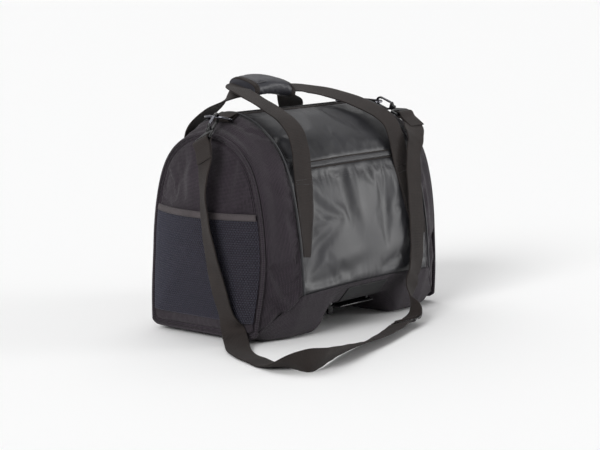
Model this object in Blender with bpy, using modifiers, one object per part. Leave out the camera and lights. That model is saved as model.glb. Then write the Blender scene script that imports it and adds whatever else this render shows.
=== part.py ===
"""Duffle bag that rides across a bicycle rack, with webbing handles, a mesh end pocket and a shoulder strap.

+X runs along the bag, -Y is its front with the zipped pocket, +Z is up. The origin is the middle of the
rack adapter's underside, where the rack carries the bag.
"""

import math

import bmesh
import bpy
from mathutils import Matrix, Vector

# Body. Heights are above the ground that the bag stands on.
main_length = 0.331
main_depth = 0.296
main_height = 0.3505
main_edge_height = 0.073
main_sole_depth = 0.252
main_swell = 0.004
end_length = 0.445
end_depth = 0.232
end_height = 0.322
end_edge_height = 0.0156
end_sole_depth = 0.200
end_sole_height = 0.010
end_crown = 0.026
end_foot = 0.012
end_foot_height = 0.140
stand_height = 0.030
recess_width = 0.180
recess_slope = 0.040

# Cloth
tarpaulin_wall = 0.002
padded_wall = 0.003
webbing_wall = 0.002
binding_wall = 0.0015
mesh_wall = 0.001
seam_gap = 0.0006
sewn_gap = 0.0012
seat_gap = 0.0003
end_piping_radius = 0.0022
main_piping_radius = 0.0014

# Zips
zip_tape_width = 0.030
zip_coil_width = 0.007
zip_coil_wall = 0.0016
zip_coil_end = 0.94
slider_place = 0.66
slider_length = 0.012
slider_wall = 0.004
pull_length = 0.026
pull_width = 0.009
pocket_zip_height = 0.272
pocket_zip_width = 0.010

# Mesh pocket on the near end
pocket_mouth_height = 0.204
pocket_bulge = 0.008
pocket_hem_height = 0.011

# Handles and their padded grip
handle_width = 0.042
handle_spread = 0.258
handle_lean = 0.016
handle_shift = -0.007
grip_length = 0.102
grip_width = 0.060
grip_thickness = 0.027
grip_slot_height = 0.0092
grip_slot_room = 0.003
grip_height = 0.383
grip_shift = -0.049
grip_back = 0.036
grip_arch = 0.007
grip_fall = 0.012
grip_tilt = 12

# Rings, snap hooks and shoulder strap
ring_width = 0.051
ring_depth = 0.026
ring_flank = 0.008
ring_wire = 0.002
near_ring_seat = 0.026
far_ring_seat = 0.020
tab_width = 0.034
tab_start = 0.0036
hook_outer_radius = 0.0086
hook_inner_radius = 0.0052
hook_throat = 0.028
hook_collar = 0.010
hook_thickness = 0.005
gate_width = 0.003
swivel_post = 0.006
swivel_bar = 0.0036
swivel_slot = 0.008
swivel_post_half = 0.0026
eye_corner = 0.003
strap_width = 0.038
strap_room = 0.002
strap_tail = 0.034
slider_bar = 0.0036
slider_slot = 0.0085
slider_thickness = 0.0024

# Rack adapter
plate_length = 0.200
plate_width = 0.112
plate_thickness = 0.010
lever_width = 0.087
lever_reach = 0.016
lever_knuckle = 0.004
lever_tip = 0.0025
lever_drop = 0.0006
lever_gap = 0.0004
ear_width = 0.006
latch_drop = 0.014
latch_width = 0.012
latch_depth = 0.006
latch_inset = 0.012
adapter_corner = 0.008
latch_corner = 0.001
patch_width = 0.104
patch_wall = 0.001

half_main = main_length / 2
half_end = end_length / 2
recess_height = stand_height + plate_thickness + seat_gap
ground = -stand_height


def clear_scene():
    for obj in list(bpy.data.objects):
        bpy.data.objects.remove(obj, do_unlink=True)


def collection_named(name):
    collection = bpy.data.collections.new(name)
    bpy.context.scene.collection.children.link(collection)
    return collection


def material_named(name, colour, roughness, metallic=0.0):
    material = bpy.data.materials.new(name)
    material.use_nodes = True
    shader = material.node_tree.nodes["Principled BSDF"]
    shader.inputs["Base Color"].default_value = (*colour, 1.0)
    shader.inputs["Roughness"].default_value = roughness
    shader.inputs["Metallic"].default_value = metallic
    return material


clear_scene()
bag = collection_named("duffle_bag")

tarpaulin = material_named("tarpaulin", (0.055, 0.056, 0.060), 0.45)
polyester = material_named("polyester", (0.034, 0.031, 0.037), 0.85)
webbing = material_named("webbing", (0.022, 0.020, 0.019), 0.75)
netting = material_named("netting", (0.026, 0.027, 0.036), 0.80)
plastic = material_named("black_plastic", (0.012, 0.012, 0.013), 0.35)
steel = material_named("blackened_steel", (0.020, 0.020, 0.021), 0.30, 0.8)


def add_object(name, mesh, material):
    obj = bpy.data.objects.new(name, mesh)
    obj.data.materials.append(material)
    bag.objects.link(obj)
    return obj


# Smooth curves through short tables


def smooth(rows, at):
    """The row at a fractional place in a table, on a smooth curve through its rows."""
    first = min(int(at), len(rows) - 2)
    part = at - first
    before = rows[first - 1] if first else None
    start, stop = rows[first], rows[first + 1]
    after = rows[first + 2] if first + 2 < len(rows) else None
    values = []
    for k in range(len(start)):
        a, b = start[k], stop[k]
        z = before[k] if before else 2 * a - b
        c = after[k] if after else 2 * b - a
        values.append(
            a
            + 0.5 * part * (b - z + part * (2 * z - 5 * a + 4 * b - c + part * (3 * (a - b) + c - z)))
        )
    return values


def ease(share):
    share = min(max(share, 0.0), 1.0)
    return share * share * (3 - 2 * share)


def spread(low, high, steps):
    return [low + (high - low) * k / steps for k in range(steps + 1)]


# Sections of the bag from the lower edge of a side to the middle of the top, as shares of half the depth
# and of the rise from that edge
arch_rows = (
    # main across, main rise, end across, end rise
    (1.000, 0.000, 0.935, 0.000),
    (0.964, 0.240, 0.990, 0.240),
    (0.903, 0.440, 0.985, 0.450),
    (0.820, 0.625, 0.915, 0.650),
    (0.690, 0.785, 0.790, 0.805),
    (0.500, 0.893, 0.600, 0.908),
    (0.260, 0.968, 0.320, 0.975),
    (0.000, 1.000, 0.000, 1.000),
)
back_rows = tuple((-row[0], row[1], -row[2], row[3]) for row in reversed(arch_rows[:-1]))
whole_arch = arch_rows + back_rows

# Half a section of the base, from the side's lower edge to the middle of the underside
sole_rows = (
    # share of the edge's depth, share of the sole's depth, share of the edge's height
    (1.00, 0.00, 1.00),
    (0.66, 0.34, 0.66),
    (0.30, 0.70, 0.34),
    (0.04, 0.96, 0.14),
    (0.00, 0.93, 0.03),
    (0.00, 0.82, 0.00),
    (0.00, 0.42, 0.00),
    (0.00, 0.00, 0.00),
)

# Soft dents and folds. Places are shares of half the main or end length and of the way over the top.
dents = (
    # along, over, share of length across, share of way across, depth in main depths
    (-0.80, 0.100, 0.30, 0.060, 0.020),
    (-0.30, 0.170, 0.45, 0.050, 0.012),
    (0.45, 0.120, 0.35, 0.060, 0.010),
    (0.10, 0.380, 0.55, 0.070, 0.014),
    (-0.60, 0.300, 0.28, 0.045, 0.016),
    (0.70, 0.330, 0.25, 0.045, 0.010),
    (0.00, 0.640, 0.60, 0.080, 0.012),
    (-0.50, 0.860, 0.40, 0.070, 0.014),
    (0.55, 0.880, 0.40, 0.070, 0.012),
)


def dent_at(x, turn):
    total = 0.0
    for along, over, wide, high, depth in dents:
        away = ((x / half_main - along) / wide) ** 2 + ((turn - over) / high) ** 2
        total += depth * main_depth * math.exp(-away)
    return total * (1 - ease((abs(x) - 0.86 * half_main) / (0.14 * half_main)))


def toward_end(x):
    """0 along the main part of the bag, rising to 1 at the outline of an end panel."""
    return max(0.0, (abs(x) - half_main) / (half_end - half_main))


def swell_at(x):
    return max(0.0, 1 - (x / half_main) ** 2)


def edge_at(x, inset):
    """Half depth and height of the seam between a side and the base."""
    share = toward_end(x)
    main = main_depth / 2 + main_swell * swell_at(x) - inset
    end = end_depth / 2 * arch_rows[0][2] - inset
    height = main_edge_height + main_swell * swell_at(x)
    return main + (end - main) * share, height + (end_edge_height - height) * share


def sole_height_at(x, inset):
    """Height of the underside, with the recess for the rack and the rise to the end panels."""
    into_recess = (recess_width / 2 + recess_slope / 2 + inset - abs(x)) / recess_slope
    rise_length = half_end - half_main
    into_end = (abs(x) - half_end + 0.5 * rise_length) / (0.5 * rise_length)
    return inset + recess_height * ease(into_recess) + end_sole_height * ease(into_end)


def foot_at(height):
    """How far the ends of the bag stand out at a height near the ground."""
    return end_foot * ease(1 - height / end_foot_height)


def body(x, turn, inset=0.0):
    """A point of the bag's skin, or of a layer that lies inset behind it.

    x is the place along the bag. turn goes from 0 at the front's lower edge over the top to 1 at the
    back's, and on to 2 back under the base."""
    share = toward_end(x)
    edge_depth, edge_height = edge_at(x, inset)
    along = x * (half_end - inset) / half_end
    splay = math.copysign(share, x)
    if turn <= 1:
        row = smooth(whole_arch, turn * (len(whole_arch) - 1))
        main_half = main_depth / 2 + main_swell * swell_at(x) - inset
        across = row[0] * main_half * (1 - share) + row[2] * (end_depth / 2 - inset) * share
        top = (main_height - inset) * (1 - share) + (end_height - inset) * share
        rise = row[1] * (1 - share) + row[3] * share
        height = edge_height + (top - edge_height) * rise
        middle = 0.5 * main_height
        inward = Vector((0, across, middle - height)).normalized()
        push = dent_at(x, turn)
        along += splay * foot_at(height)
        return Vector((along, -across + push * inward.y, ground + height + push * inward.z))
    side = 1 if turn < 1.5 else -1
    place = (turn - 1) * 2 if side > 0 else (2 - turn) * 2
    at = place * (len(sole_rows) - 1)
    first = min(int(at), len(sole_rows) - 2)
    part = at - first
    low, high = sole_rows[first], sole_rows[first + 1]
    edge_share, sole_share, rise = (a + (b - a) * part for a, b in zip(low, high))
    sole_depth = main_sole_depth + (end_sole_depth - main_sole_depth) * share
    across = edge_share * edge_depth + sole_share * (sole_depth / 2 - inset)
    low_height = sole_height_at(x, inset)
    height = low_height + (edge_height - low_height) * rise
    return Vector((along + splay * foot_at(height), side * across, ground + height))


def skin(x, turn, lift=0.0):
    """A point that stands lift out from the skin, and the skin's outward direction there."""
    step = 0.004
    along = body(x + step, turn) - body(x - step, turn)
    over = body(x, turn + step) - body(x, turn - step)
    out = along.cross(over).normalized()
    return body(x, turn) + out * lift, out


def turn_at_height(x, height):
    """How far over the front side a height above the ground lies."""
    low, high = 0.0, 0.5
    for _ in range(30):
        middle = (low + high) / 2
        if body(x, middle).z - ground < height:
            low = middle
        else:
            high = middle
    return low


# Meshes from layers and sections


def wall_mesh(name, outer, inner, closed=False, pole=None):
    """A wall between two layers of rows of points. With closed the rows run round. pole closes the last row."""
    work = bmesh.new()
    layers = [[[work.verts.new(p) for p in row] for row in layer] for layer in (outer, inner)]
    count = len(outer[0])
    spans = count if closed else count - 1
    for layer, flip in zip(layers, (False, True)):
        for low, high in zip(layer, layer[1:]):
            for k in range(spans):
                n = (k + 1) % count
                corners = (low[k], low[n], high[n], high[k])
                work.faces.new(corners[::-1] if flip else corners)
    rims = [(layers[0][0], layers[1][0], False)]
    if pole is None:
        rims.append((layers[0][-1], layers[1][-1], True))
    for top, under, flip in rims:
        for k in range(spans):
            n = (k + 1) % count
            corners = (top[n], top[k], under[k], under[n])
            work.faces.new(corners[::-1] if flip else corners)
    if not closed:
        for k, flip in ((0, True), (count - 1, False)):
            for r in range(len(outer) - 1):
                corners = (layers[0][r + 1][k], layers[0][r][k], layers[1][r][k], layers[1][r + 1][k])
                work.faces.new(corners[::-1] if flip else corners)
    if pole is not None:
        for layer, point, flip in zip(layers, pole, (False, True)):
            tip = work.verts.new(point)
            for k in range(spans):
                corners = (layer[-1][k], layer[-1][(k + 1) % count], tip)
                work.faces.new(corners[::-1] if flip else corners)
    bmesh.ops.recalc_face_normals(work, faces=work.faces)
    mesh = bpy.data.meshes.new(name)
    work.to_mesh(mesh)
    work.free()
    mesh.shade_smooth()
    mesh.set_sharp_from_angle(angle=math.radians(40))
    return mesh


def body_wall(name, stations, turns, wall, material, lift=0.0):
    """A panel of the body between stations along it and turns over it."""
    outer = [[body(x, t, -lift) for t in turns] for x in stations]
    inner = [[body(x, t, wall - lift) for t in turns] for x in stations]
    return add_object(name, wall_mesh(name, outer, inner), material)


def ribbon(name, stops, thickness, material):
    """Webbing through stops, each a left edge, a right edge and the direction that its face looks."""
    outer = []
    inner = []
    for left, right, face in stops:
        outer.append([left + face * thickness / 2, right + face * thickness / 2])
        inner.append([left - face * thickness / 2, right - face * thickness / 2])
    return add_object(name, wall_mesh(name, outer, inner), material)


def tube(name, points, radius, material, closed=False):
    """A round cord or wire, six-sided."""
    curve = bpy.data.curves.new(name, "CURVE")
    curve.dimensions = "3D"
    curve.bevel_depth = radius
    curve.bevel_resolution = 1
    curve.use_fill_caps = not closed
    spline = curve.splines.new("POLY")
    spline.points.add(len(points) - 1)
    for point, place in zip(spline.points, points):
        point.co = (*place, 1.0)
    spline.use_cyclic_u = closed
    return add_object(name, curve, material)


def flat_part(name, outlines, thickness, place, material):
    """A flat part of this thickness, from closed outlines in the plane of a local frame."""
    curve = bpy.data.curves.new(name, "CURVE")
    curve.dimensions = "2D"
    curve.fill_mode = "BOTH"
    curve.extrude = thickness / 2
    for outline in outlines:
        spline = curve.splines.new("POLY")
        spline.points.add(len(outline) - 1)
        for point, (x, y) in zip(spline.points, outline):
            point.co = (x, y, 0.0, 1.0)
        spline.use_cyclic_u = True
    obj = add_object(name, curve, material)
    obj.matrix_world = place
    return obj


def block(name, size, place, material, bevel):
    """A box with softened edges, placed by its middle."""
    work = bmesh.new()
    bmesh.ops.create_cube(work, size=1.0)
    bmesh.ops.scale(work, vec=size, verts=work.verts)
    mesh = bpy.data.meshes.new(name)
    work.to_mesh(mesh)
    work.free()
    obj = add_object(name, mesh, material)
    obj.matrix_world = place
    edge = obj.modifiers.new("edges", "BEVEL")
    edge.width = bevel
    edge.segments = 1
    return obj


def arc(centre, radius, start, stop, steps):
    """Places on an arc, with angles in degrees."""
    angles = [math.radians(angle) for angle in spread(start, stop, steps)]
    return [(centre[0] + radius * math.cos(a), centre[1] + radius * math.sin(a)) for a in angles]


def rectangle(width, height, middle=(0.0, 0.0), corner=0.0):
    """A closed rectangle, with rounded corners where corner is given."""
    x, y = width / 2 - corner, height / 2 - corner
    places = []
    for side_x, side_y, start in ((1, 1, 0), (-1, 1, 90), (-1, -1, 180), (1, -1, 270)):
        centre = (middle[0] + side_x * x, middle[1] + side_y * y)
        places += arc(centre, corner, start, start + 90, 2) if corner else [centre]
    return places


def frame_from(origin, up, side):
    """A local frame whose y is up and whose x lies towards side."""
    y = up.normalized()
    z = Vector(side).cross(y).normalized()
    x = y.cross(z)
    return Matrix.Translation(origin) @ Matrix((x, y, z)).transposed().to_4x4()


# Body panels
arch_steps = 28
half_steps = arch_steps // 2
arch_length = 0.75
base_length = 0.36
over_gap = seam_gap / 2 / arch_length
under_gap = seam_gap / 2 / base_length
zip_share = zip_tape_width / 2 / arch_length
main_stations = spread(-half_main + seam_gap / 2, half_main - seam_gap / 2, 16)
front_turns = spread(over_gap, 0.5 - zip_share - over_gap, half_steps)
back_turns = [1 - turn for turn in reversed(front_turns)]
arch_turns = spread(over_gap, 1 - over_gap, arch_steps)
sole_steps = 2 * (len(sole_rows) - 1)
sole_turns = spread(1.0, 2.0, sole_steps)
sole_turns[0] += under_gap
sole_turns[-1] -= under_gap

body_wall("front_panel", main_stations, front_turns, tarpaulin_wall, tarpaulin)
body_wall("back_panel", main_stations, back_turns, tarpaulin_wall, tarpaulin)


def gusset_stations(side):
    low = half_main + seam_gap / 2
    high = half_end - seam_gap / 2
    return [side * x for x in spread(low, high, 3)]


body_wall("near_gusset", gusset_stations(-1), arch_turns, padded_wall, polyester)
body_wall("far_gusset", gusset_stations(1), arch_turns, padded_wall, polyester)

recess_edge = [recess_width / 2 + recess_slope * share for share in (-0.5, -0.25, 0.0, 0.25, 0.5)]
half_base = [0.5 * recess_edge[0], *recess_edge, (recess_edge[-1] + half_main) / 2, half_main]
half_base += spread(half_main, half_end - seam_gap / 2, 3)[1:]
base_stations = [-x for x in reversed(half_base)] + [0.0] + half_base
body_wall("base_panel", base_stations, sole_turns, padded_wall, polyester)


def end_outline(inset):
    """The loop round an end panel, over the top and back under it, as places across and up."""
    turns = spread(0.0, 1.0, arch_steps) + spread(1.0, 2.0, sole_steps)[1:-1]
    return [body(half_end, turn, inset).yz for turn in turns]


end_middle = Vector((0.0, ground + end_height / 2))
end_face = half_end + sewn_gap


def crown_at(share):
    return end_crown * (1 - share * share)


def end_point(side, place, out):
    """A point that stands out from the flat of an end, over a place across and up."""
    return Vector((side * (end_face + foot_at(place.y - ground) + out), *place))


def end_wall(name, side):
    """A crowned end panel, closed in the middle."""
    layers = []
    for inset in (0.0, padded_wall):
        loop = end_outline(inset)
        rows = []
        for share in (1.0, 0.84, 0.6, 0.3):
            places = [end_middle + (place - end_middle) * share for place in loop]
            rows.append([end_point(side, place, crown_at(share) - inset) for place in places])
        layers.append(rows)
    poles = [end_point(side, end_middle, end_crown - inset) for inset in (0.0, padded_wall)]
    return add_object(name, wall_mesh(name, layers[0], layers[1], closed=True, pole=poles), polyester)


end_wall("near_end_panel", -1)
end_wall("far_end_panel", 1)


def outline_share(y, z):
    """How far out from the end panel's middle a place lies, as a share of the way to the outline."""
    loop = end_outline(0.0)
    place = Vector((y, z)) - end_middle
    if place.length < 1e-6:
        return 0.0
    for k, low in enumerate(loop):
        high = loop[(k + 1) % len(loop)]
        a, b = low - end_middle, high - end_middle
        turn = a.x * b.y - a.y * b.x
        along_b = (place.x * b.y - place.y * b.x) / turn
        along_a = (a.x * place.y - a.y * place.x) / turn
        if along_a >= -1e-9 and along_b >= -1e-9:
            return along_a + along_b
    return 1.0


def near_face(y, z, lift=0.0):
    """A point that stands lift out from the near end panel."""
    return end_point(-1, Vector((y, z)), crown_at(outline_share(y, z)) + lift)


# Piped edges


def end_piping(name, side):
    loop = end_outline(0.0)
    count = len(loop)
    points = []
    for k, place in enumerate(loop):
        along = (loop[(k + 1) % count] - loop[k - 1]).normalized()
        out = Vector((-along.y, along.x))
        if out.dot(place - end_middle) < 0:
            out = -out
        out = Vector((side, *out)).normalized()
        points.append(end_point(side, place, 0.0) + out * (end_piping_radius + 2 * seat_gap))
    return tube(name, points, end_piping_radius, polyester, closed=True)


end_piping("near_end_piping", -1)
end_piping("far_end_piping", 1)


def main_piping(name, side):
    x = side * half_main
    points = []
    for turn in arch_turns:
        clear = min(max(turn, 0.01), 0.99)
        out = (skin(0.97 * x, clear)[1] + skin(1.05 * x, clear)[1]).normalized()
        points.append(body(x, turn) + out * (main_piping_radius + 2 * seat_gap))
    return tube(name, points, main_piping_radius, tarpaulin)


main_piping("near_seam_piping", -1)
main_piping("far_seam_piping", 1)

# Main zip along the top
tape_turns = (0.5 - zip_share + over_gap, 0.5, 0.5 + zip_share - over_gap)
body_wall("main_zip_tape", main_stations, tape_turns, binding_wall, webbing)

coil_share = zip_coil_width / 2 / arch_length
slider_x = slider_place * half_main
coil_stop = slider_x - slider_length / 2 - zip_coil_width / 2
coil_stations = spread(-zip_coil_end * half_main, coil_stop, 9)
body_wall(
    "main_zip_coil",
    coil_stations,
    (0.5 - coil_share, 0.5 + coil_share),
    zip_coil_wall,
    plastic,
    lift=zip_coil_wall + seat_gap,
)


def zip_slider():
    seat, out = skin(slider_x, 0.5, seat_gap)
    place = frame_from(seat, out, Vector((1, 0, 0)))
    size = (slider_length, slider_wall, 1.3 * zip_coil_width)
    block("main_zip_slider", size, place @ Matrix.Translation((0, slider_wall / 2, 0)), steel, 0.0008)
    size = (pull_length, slider_wall * 0.4, pull_width)
    reach = slider_length / 2 + seat_gap + pull_length / 2
    block("main_zip_pull", size, place @ Matrix.Translation((reach, slider_wall * 0.4, 0)), webbing, 0.0004)


zip_slider()

# Flat cover over the front pocket's zip, held between the legs of the front handle
pocket_zip_turn = turn_at_height(0.0, pocket_zip_height)
pocket_zip_share = pocket_zip_width / 2 / arch_length
handle_clear = handle_spread / 2 - handle_width / 2 - 2 * seat_gap
cover_stations = [handle_shift + x for x in spread(-handle_clear, handle_clear, 6)]
body_wall(
    "pocket_zip_cover",
    cover_stations,
    (pocket_zip_turn - pocket_zip_share, pocket_zip_turn + pocket_zip_share),
    binding_wall,
    webbing,
    lift=binding_wall + seat_gap,
)


# Mesh pocket on the near end
pocket_share = 0.955


def pocket_reach(z):
    """Half the width of the pocket at a height."""
    low, high = 0.0, end_depth / 2
    for _ in range(30):
        middle = (low + high) / 2
        if outline_share(middle, z) < pocket_share:
            low = middle
        else:
            high = middle
    return low


pocket_floor = end_edge_height + 0.10 * (pocket_mouth_height - end_edge_height)
pocket_levels = [ground + z for z in spread(pocket_floor, pocket_mouth_height - pocket_hem_height, 6)]
pocket_columns = spread(-1.0, 1.0, 12)


def pocket_point(column, z, lift):
    reach = pocket_reach(z)
    y = column * reach
    rise = (z - ground - pocket_floor) / (pocket_mouth_height - pocket_floor)
    bulge = pocket_bulge * (1 - column * column) ** 0.8 * ease(0.15 + 1.3 * rise) ** 0.6
    return near_face(y, z, sewn_gap + bulge + lift)


def pocket_wall(name, levels, wall, lift, material):
    outer = [[pocket_point(c, z, lift + wall) for c in pocket_columns] for z in levels]
    inner = [[pocket_point(c, z, lift) for c in pocket_columns] for z in levels]
    return add_object(name, wall_mesh(name, outer, inner), material)


pocket_wall("mesh_pocket", pocket_levels, mesh_wall, 0.0, netting)
hem_levels = [ground + pocket_mouth_height - pocket_hem_height + seam_gap, ground + pocket_mouth_height]
pocket_wall("pocket_hem", hem_levels, webbing_wall, 0.0, webbing)

# Handles. Each is one length of webbing, sewn to a side from the gusset seam up to the pocket zip and free
# above.
sewn_top_height = 0.252
sewn_low_height = 0.132
handle_lift = seam_gap + webbing_wall / 2
seam_clear = half_main - 2 * main_piping_radius
sewn_taper = 0.012
least_sewn_width = 0.005


def sewn_rows(front, leg):
    """Edges of one sewn leg from its low end up, outer edge first, and the skin's direction there."""
    rows = []
    for share in spread(0.0, 1.0, 10):
        height = sewn_low_height + (sewn_top_height - sewn_low_height) * share
        centre = leg * (handle_spread / 2 + handle_lean * (1 - share) + sewn_taper * (1 - share) ** 2)
        centre += handle_shift
        row = []
        for reach, outside in ((leg, seam_clear), (-leg, seam_clear - least_sewn_width)):
            x = min(max(centre + reach * handle_width / 2, -outside), outside)
            turn = turn_at_height(x, height)
            row.append(skin(x, turn if front else 1 - turn, handle_lift))
        rows.append((row[0][0], row[1][0], (row[0][1] + row[1][1]).normalized()))
    return rows


# The free stretches of each handle, between a sewn leg and the grip
front_near_rows = (
    # along in grip lengths from the grip's middle, back of it in half depths, above it in grip heights,
    # tilt of the webbing's face from upright in degrees
    (-0.86, -0.97, -0.155, 50),
    (-0.88, -0.62, -0.060, 34),
    (-0.84, -0.20, 0.000, 13),
)
front_far_rows = (
    (0.96, -0.08, -0.020, 18),
    (1.31, -0.40, -0.052, 34),
    (1.57, -0.86, -0.130, 52),
    (1.64, -1.00, -0.215, 62),
)
back_near_rows = (
    (-0.80, 0.54, -0.200, 60),
    (-0.85, 0.38, -0.130, 36),
    (-0.77, 0.12, -0.052, -4),
)
back_far_rows = (
    (0.76, 0.05, -0.060, -6),
    (1.06, 0.20, -0.108, 20),
    (1.42, 0.40, -0.150, 46),
    (1.60, 0.54, -0.215, 60),
)
grip_shares = spread(-0.58, 0.58, 8)


def grip_line(share, lift=0.0):
    """A point of the line that both handles follow through the grip, standing lift above it."""
    lean = math.radians(grip_tilt)
    above = grip_arch * (1 - (2 * share - 0.2) ** 2) - grip_fall * (share + 0.1)
    point = Vector((grip_shift + share * grip_length, grip_back, ground + grip_height + above))
    return point + Vector((0, -math.sin(lean), math.cos(lean))) * lift


def handle(name, front):
    sign = 1 if front else -1
    lift = sign * (webbing_wall + sewn_gap) / 2
    near, far = sewn_rows(front, -1), sewn_rows(front, 1)[::-1]

    def free_row(along, back, above, tilt):
        away = Vector((along * grip_length, back * main_depth / 2, above * grip_height))
        return (*(Vector((grip_shift, grip_back, ground + grip_height)) + away), tilt)

    ends = [(*((row[0] + row[1]) / 2), 75) for row in (near[-1], far[0])]
    lifts = [lift * (2 if abs(share) > 0.5 else 1) for share in grip_shares]
    grip = [(*grip_line(*at), sign * grip_tilt) for at in zip(grip_shares, lifts)]
    before = [ends[0]] + [free_row(*row) for row in (front_near_rows if front else back_near_rows)]
    after = [free_row(*row) for row in (front_far_rows if front else back_far_rows)] + [ends[1]]
    rows = before + grip[:2]
    path = [smooth(rows, k / 3) for k in range(1, 3 * len(before) + 1)]
    path += grip[1:-1]
    rows = grip[-2:] + after
    path += [smooth(rows, 1 + k / 3) for k in range(3 * len(after))]
    places = [Vector(row[:3]) for row in path]
    stops = list(near)
    for k, row in enumerate(path):
        tilt = math.radians(row[3])
        face = Vector((0, -sign * math.sin(tilt), math.cos(tilt)))
        last = places[k - 1] if k else (near[-1][0] + near[-1][1]) / 2
        following = places[k + 1] if k + 1 < len(places) else (far[0][0] + far[0][1]) / 2
        along = (following - last).normalized()
        across = along.cross(face).normalized() * sign
        half = across * handle_width / 2
        stops.append((places[k] - half, places[k] + half, across.cross(along).normalized() * sign))
    return ribbon(name, stops + far, webbing_wall, webbing)


handle("front_handle", True)
handle("back_handle", False)


def grip_sections(width, height, roundness):
    """Sections along the handles' middle: oval with roundness 1, nearer to a rectangle when less."""
    lean = math.radians(grip_tilt)
    across = Vector((0, math.cos(lean), math.sin(lean)))
    over = Vector((0, -math.sin(lean), math.cos(lean)))
    rows = []
    for share in spread(-0.5, 0.5, 8):
        pinch = 1 - 0.03 * abs(2 * share) ** 4
        ring = []
        for k in range(16):
            angle = 2 * math.pi * k / 16
            wide = width / 2 * pinch * math.copysign(abs(math.cos(angle)) ** roundness, math.cos(angle))
            high = height / 2 * math.copysign(abs(math.sin(angle)) ** roundness, math.sin(angle))
            ring.append(grip_line(share) + across * wide + over * high)
        rows.append(ring)
    return rows


grip_outside = grip_sections(grip_width, grip_thickness, 1.0)
grip_slot = grip_sections(handle_width + 2 * grip_slot_room, grip_slot_height, 0.3)
grip_mesh = wall_mesh("handle_grip", grip_outside, grip_slot, closed=True)
add_object("handle_grip", grip_mesh, polyester)


# Rings on webbing tabs at the top of the gussets


def gusset_slope(side):
    """Where a gusset starts at the top, and the directions down it and out from it."""
    low = body(side * (half_main + seam_gap), 0.5)
    high = body(side * (half_end - seam_gap), 0.5)
    down = (high - low).normalized()
    return low, down, Vector((-down.z * side, 0, down.x * side))


def ring_on_tab(prefix, side, seat, lean):
    """A ring and the tab that holds it, seat down the gusset from the seam.

    lean lifts the ring off the gusset. Gives the ring's points, from the back over its bow to the front."""
    start, down, out = gusset_slope(side)
    across = Vector((0, 1, 0))
    bar = start + down * seat + out * (ring_wire + webbing_wall + 2 * seat_gap)
    reach = down * math.cos(lean) + out * math.sin(lean)
    half = ring_width / 2 - ring_wire
    bow = ring_depth - 2 * ring_wire - ring_flank
    points = [bar + across * half]
    for y, r in arc((0, 0), 1.0, 0, 180, 12):
        points.append(bar + across * half * y + reach * (ring_flank + bow * r))
    points += [bar - across * half]
    tube(prefix + "_ring", points, ring_wire, steel, closed=True)
    turn_radius = ring_wire + seat_gap + webbing_wall / 2
    low = start + down * tab_start
    profile = [low + out * (webbing_wall / 2 + seat_gap)]
    for x, y in arc((0, 0), turn_radius, -90, 90, 6):
        profile.append(bar + down * x + out * y)
    profile.append(low + out * (1.5 * webbing_wall + 2 * seat_gap))
    half_tab = across * tab_width / 2
    stops = []
    for k, place in enumerate(profile):
        before = profile[max(k - 1, 0)]
        after = profile[min(k + 1, len(profile) - 1)]
        stops.append((place - half_tab, place + half_tab, (after - before).cross(across).normalized()))
    ribbon(prefix + "_ring_tab", stops, webbing_wall, webbing)
    return points


hook_collar_half = 0.0048
hook_foot = 0.002
hook_shoulder = 0.010
hook_shelf = 0.0066
hook_shelf_half = 0.003
hook_shelf_root = 0.003
hook_nose = hook_throat - 0.003


def hook_outline():
    """The snap hook's body, from its collar up its back, round the crown to the nose and back inside."""
    crown = (0.0, hook_throat)
    outer, inner = hook_outer_radius, hook_inner_radius
    places = [(-hook_collar_half, -hook_collar / 2), (-hook_collar_half, hook_foot), (-outer, hook_shoulder)]
    places += arc(crown, outer, 180, 0, 8)
    places += [(outer, hook_nose), (inner, hook_nose)]
    places += arc(crown, inner, 0, 180, 6)
    places += [(-inner, hook_shoulder), (-hook_shelf_half, hook_shelf), (outer, hook_shelf)]
    places += [(outer, hook_shelf_root), (hook_collar_half, 0.0), (hook_collar_half, -hook_collar / 2)]
    return places[::-1]


gate_pivot = ((hook_outer_radius + hook_inner_radius) / 2, hook_shelf + seat_gap + gate_width / 2)


def gate_outline():
    """The gate, round at its pivot and tapering to the hook's nose, with the pivot at 0, 0."""
    half = gate_width / 2
    top = hook_nose - seat_gap - gate_pivot[1]
    return arc((0, 0), half, 180, 360, 6) + [(half, top), (-0.6 * half, top)]


def snap_hook(prefix, middle, wire, up, shift, strap_across):
    """A hook on a ring's wire, its gate, and the swivel eye that the strap goes round. Gives the eye's bar.

    middle and wire are a point of the ring and its direction there. shift moves the hook across, gate side
    first."""
    up = (up - wire * up.dot(wire)).normalized()
    side = up.cross(wire)
    if side.z < 0:
        side = -side
    room = hook_inner_radius * math.cos(math.radians(15)) - ring_wire - seat_gap
    drop = hook_throat + math.sqrt(room * room - shift * shift)
    place = frame_from(middle - up * drop + side * shift, up, side)
    flat_part(prefix + "_hook", [hook_outline()], hook_thickness, place, plastic)
    pivot = place @ Matrix.Translation((*gate_pivot, 0))
    flat_part(prefix + "_hook_gate", [gate_outline()], hook_thickness * 0.8, pivot, steel)
    width = strap_width + strap_room + 2 * swivel_bar
    height = swivel_slot + 2 * swivel_bar
    eye = frame_from(place @ Vector((0, -hook_collar / 2 - seat_gap, 0)), up, strap_across)
    centre = (0, -swivel_post - height / 2)
    outer = rectangle(width, height, centre, eye_corner)
    outer = outer[:3] + [(swivel_post_half, 0.0), (-swivel_post_half, 0.0)] + outer[3:]
    inner = rectangle(width - 2 * swivel_bar, swivel_slot, centre)
    flat_part(prefix + "_swivel_eye", [outer, inner], swivel_bar, eye, plastic)
    return eye @ Matrix.Translation((0, -swivel_post - height + swivel_bar / 2, 0))


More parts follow.
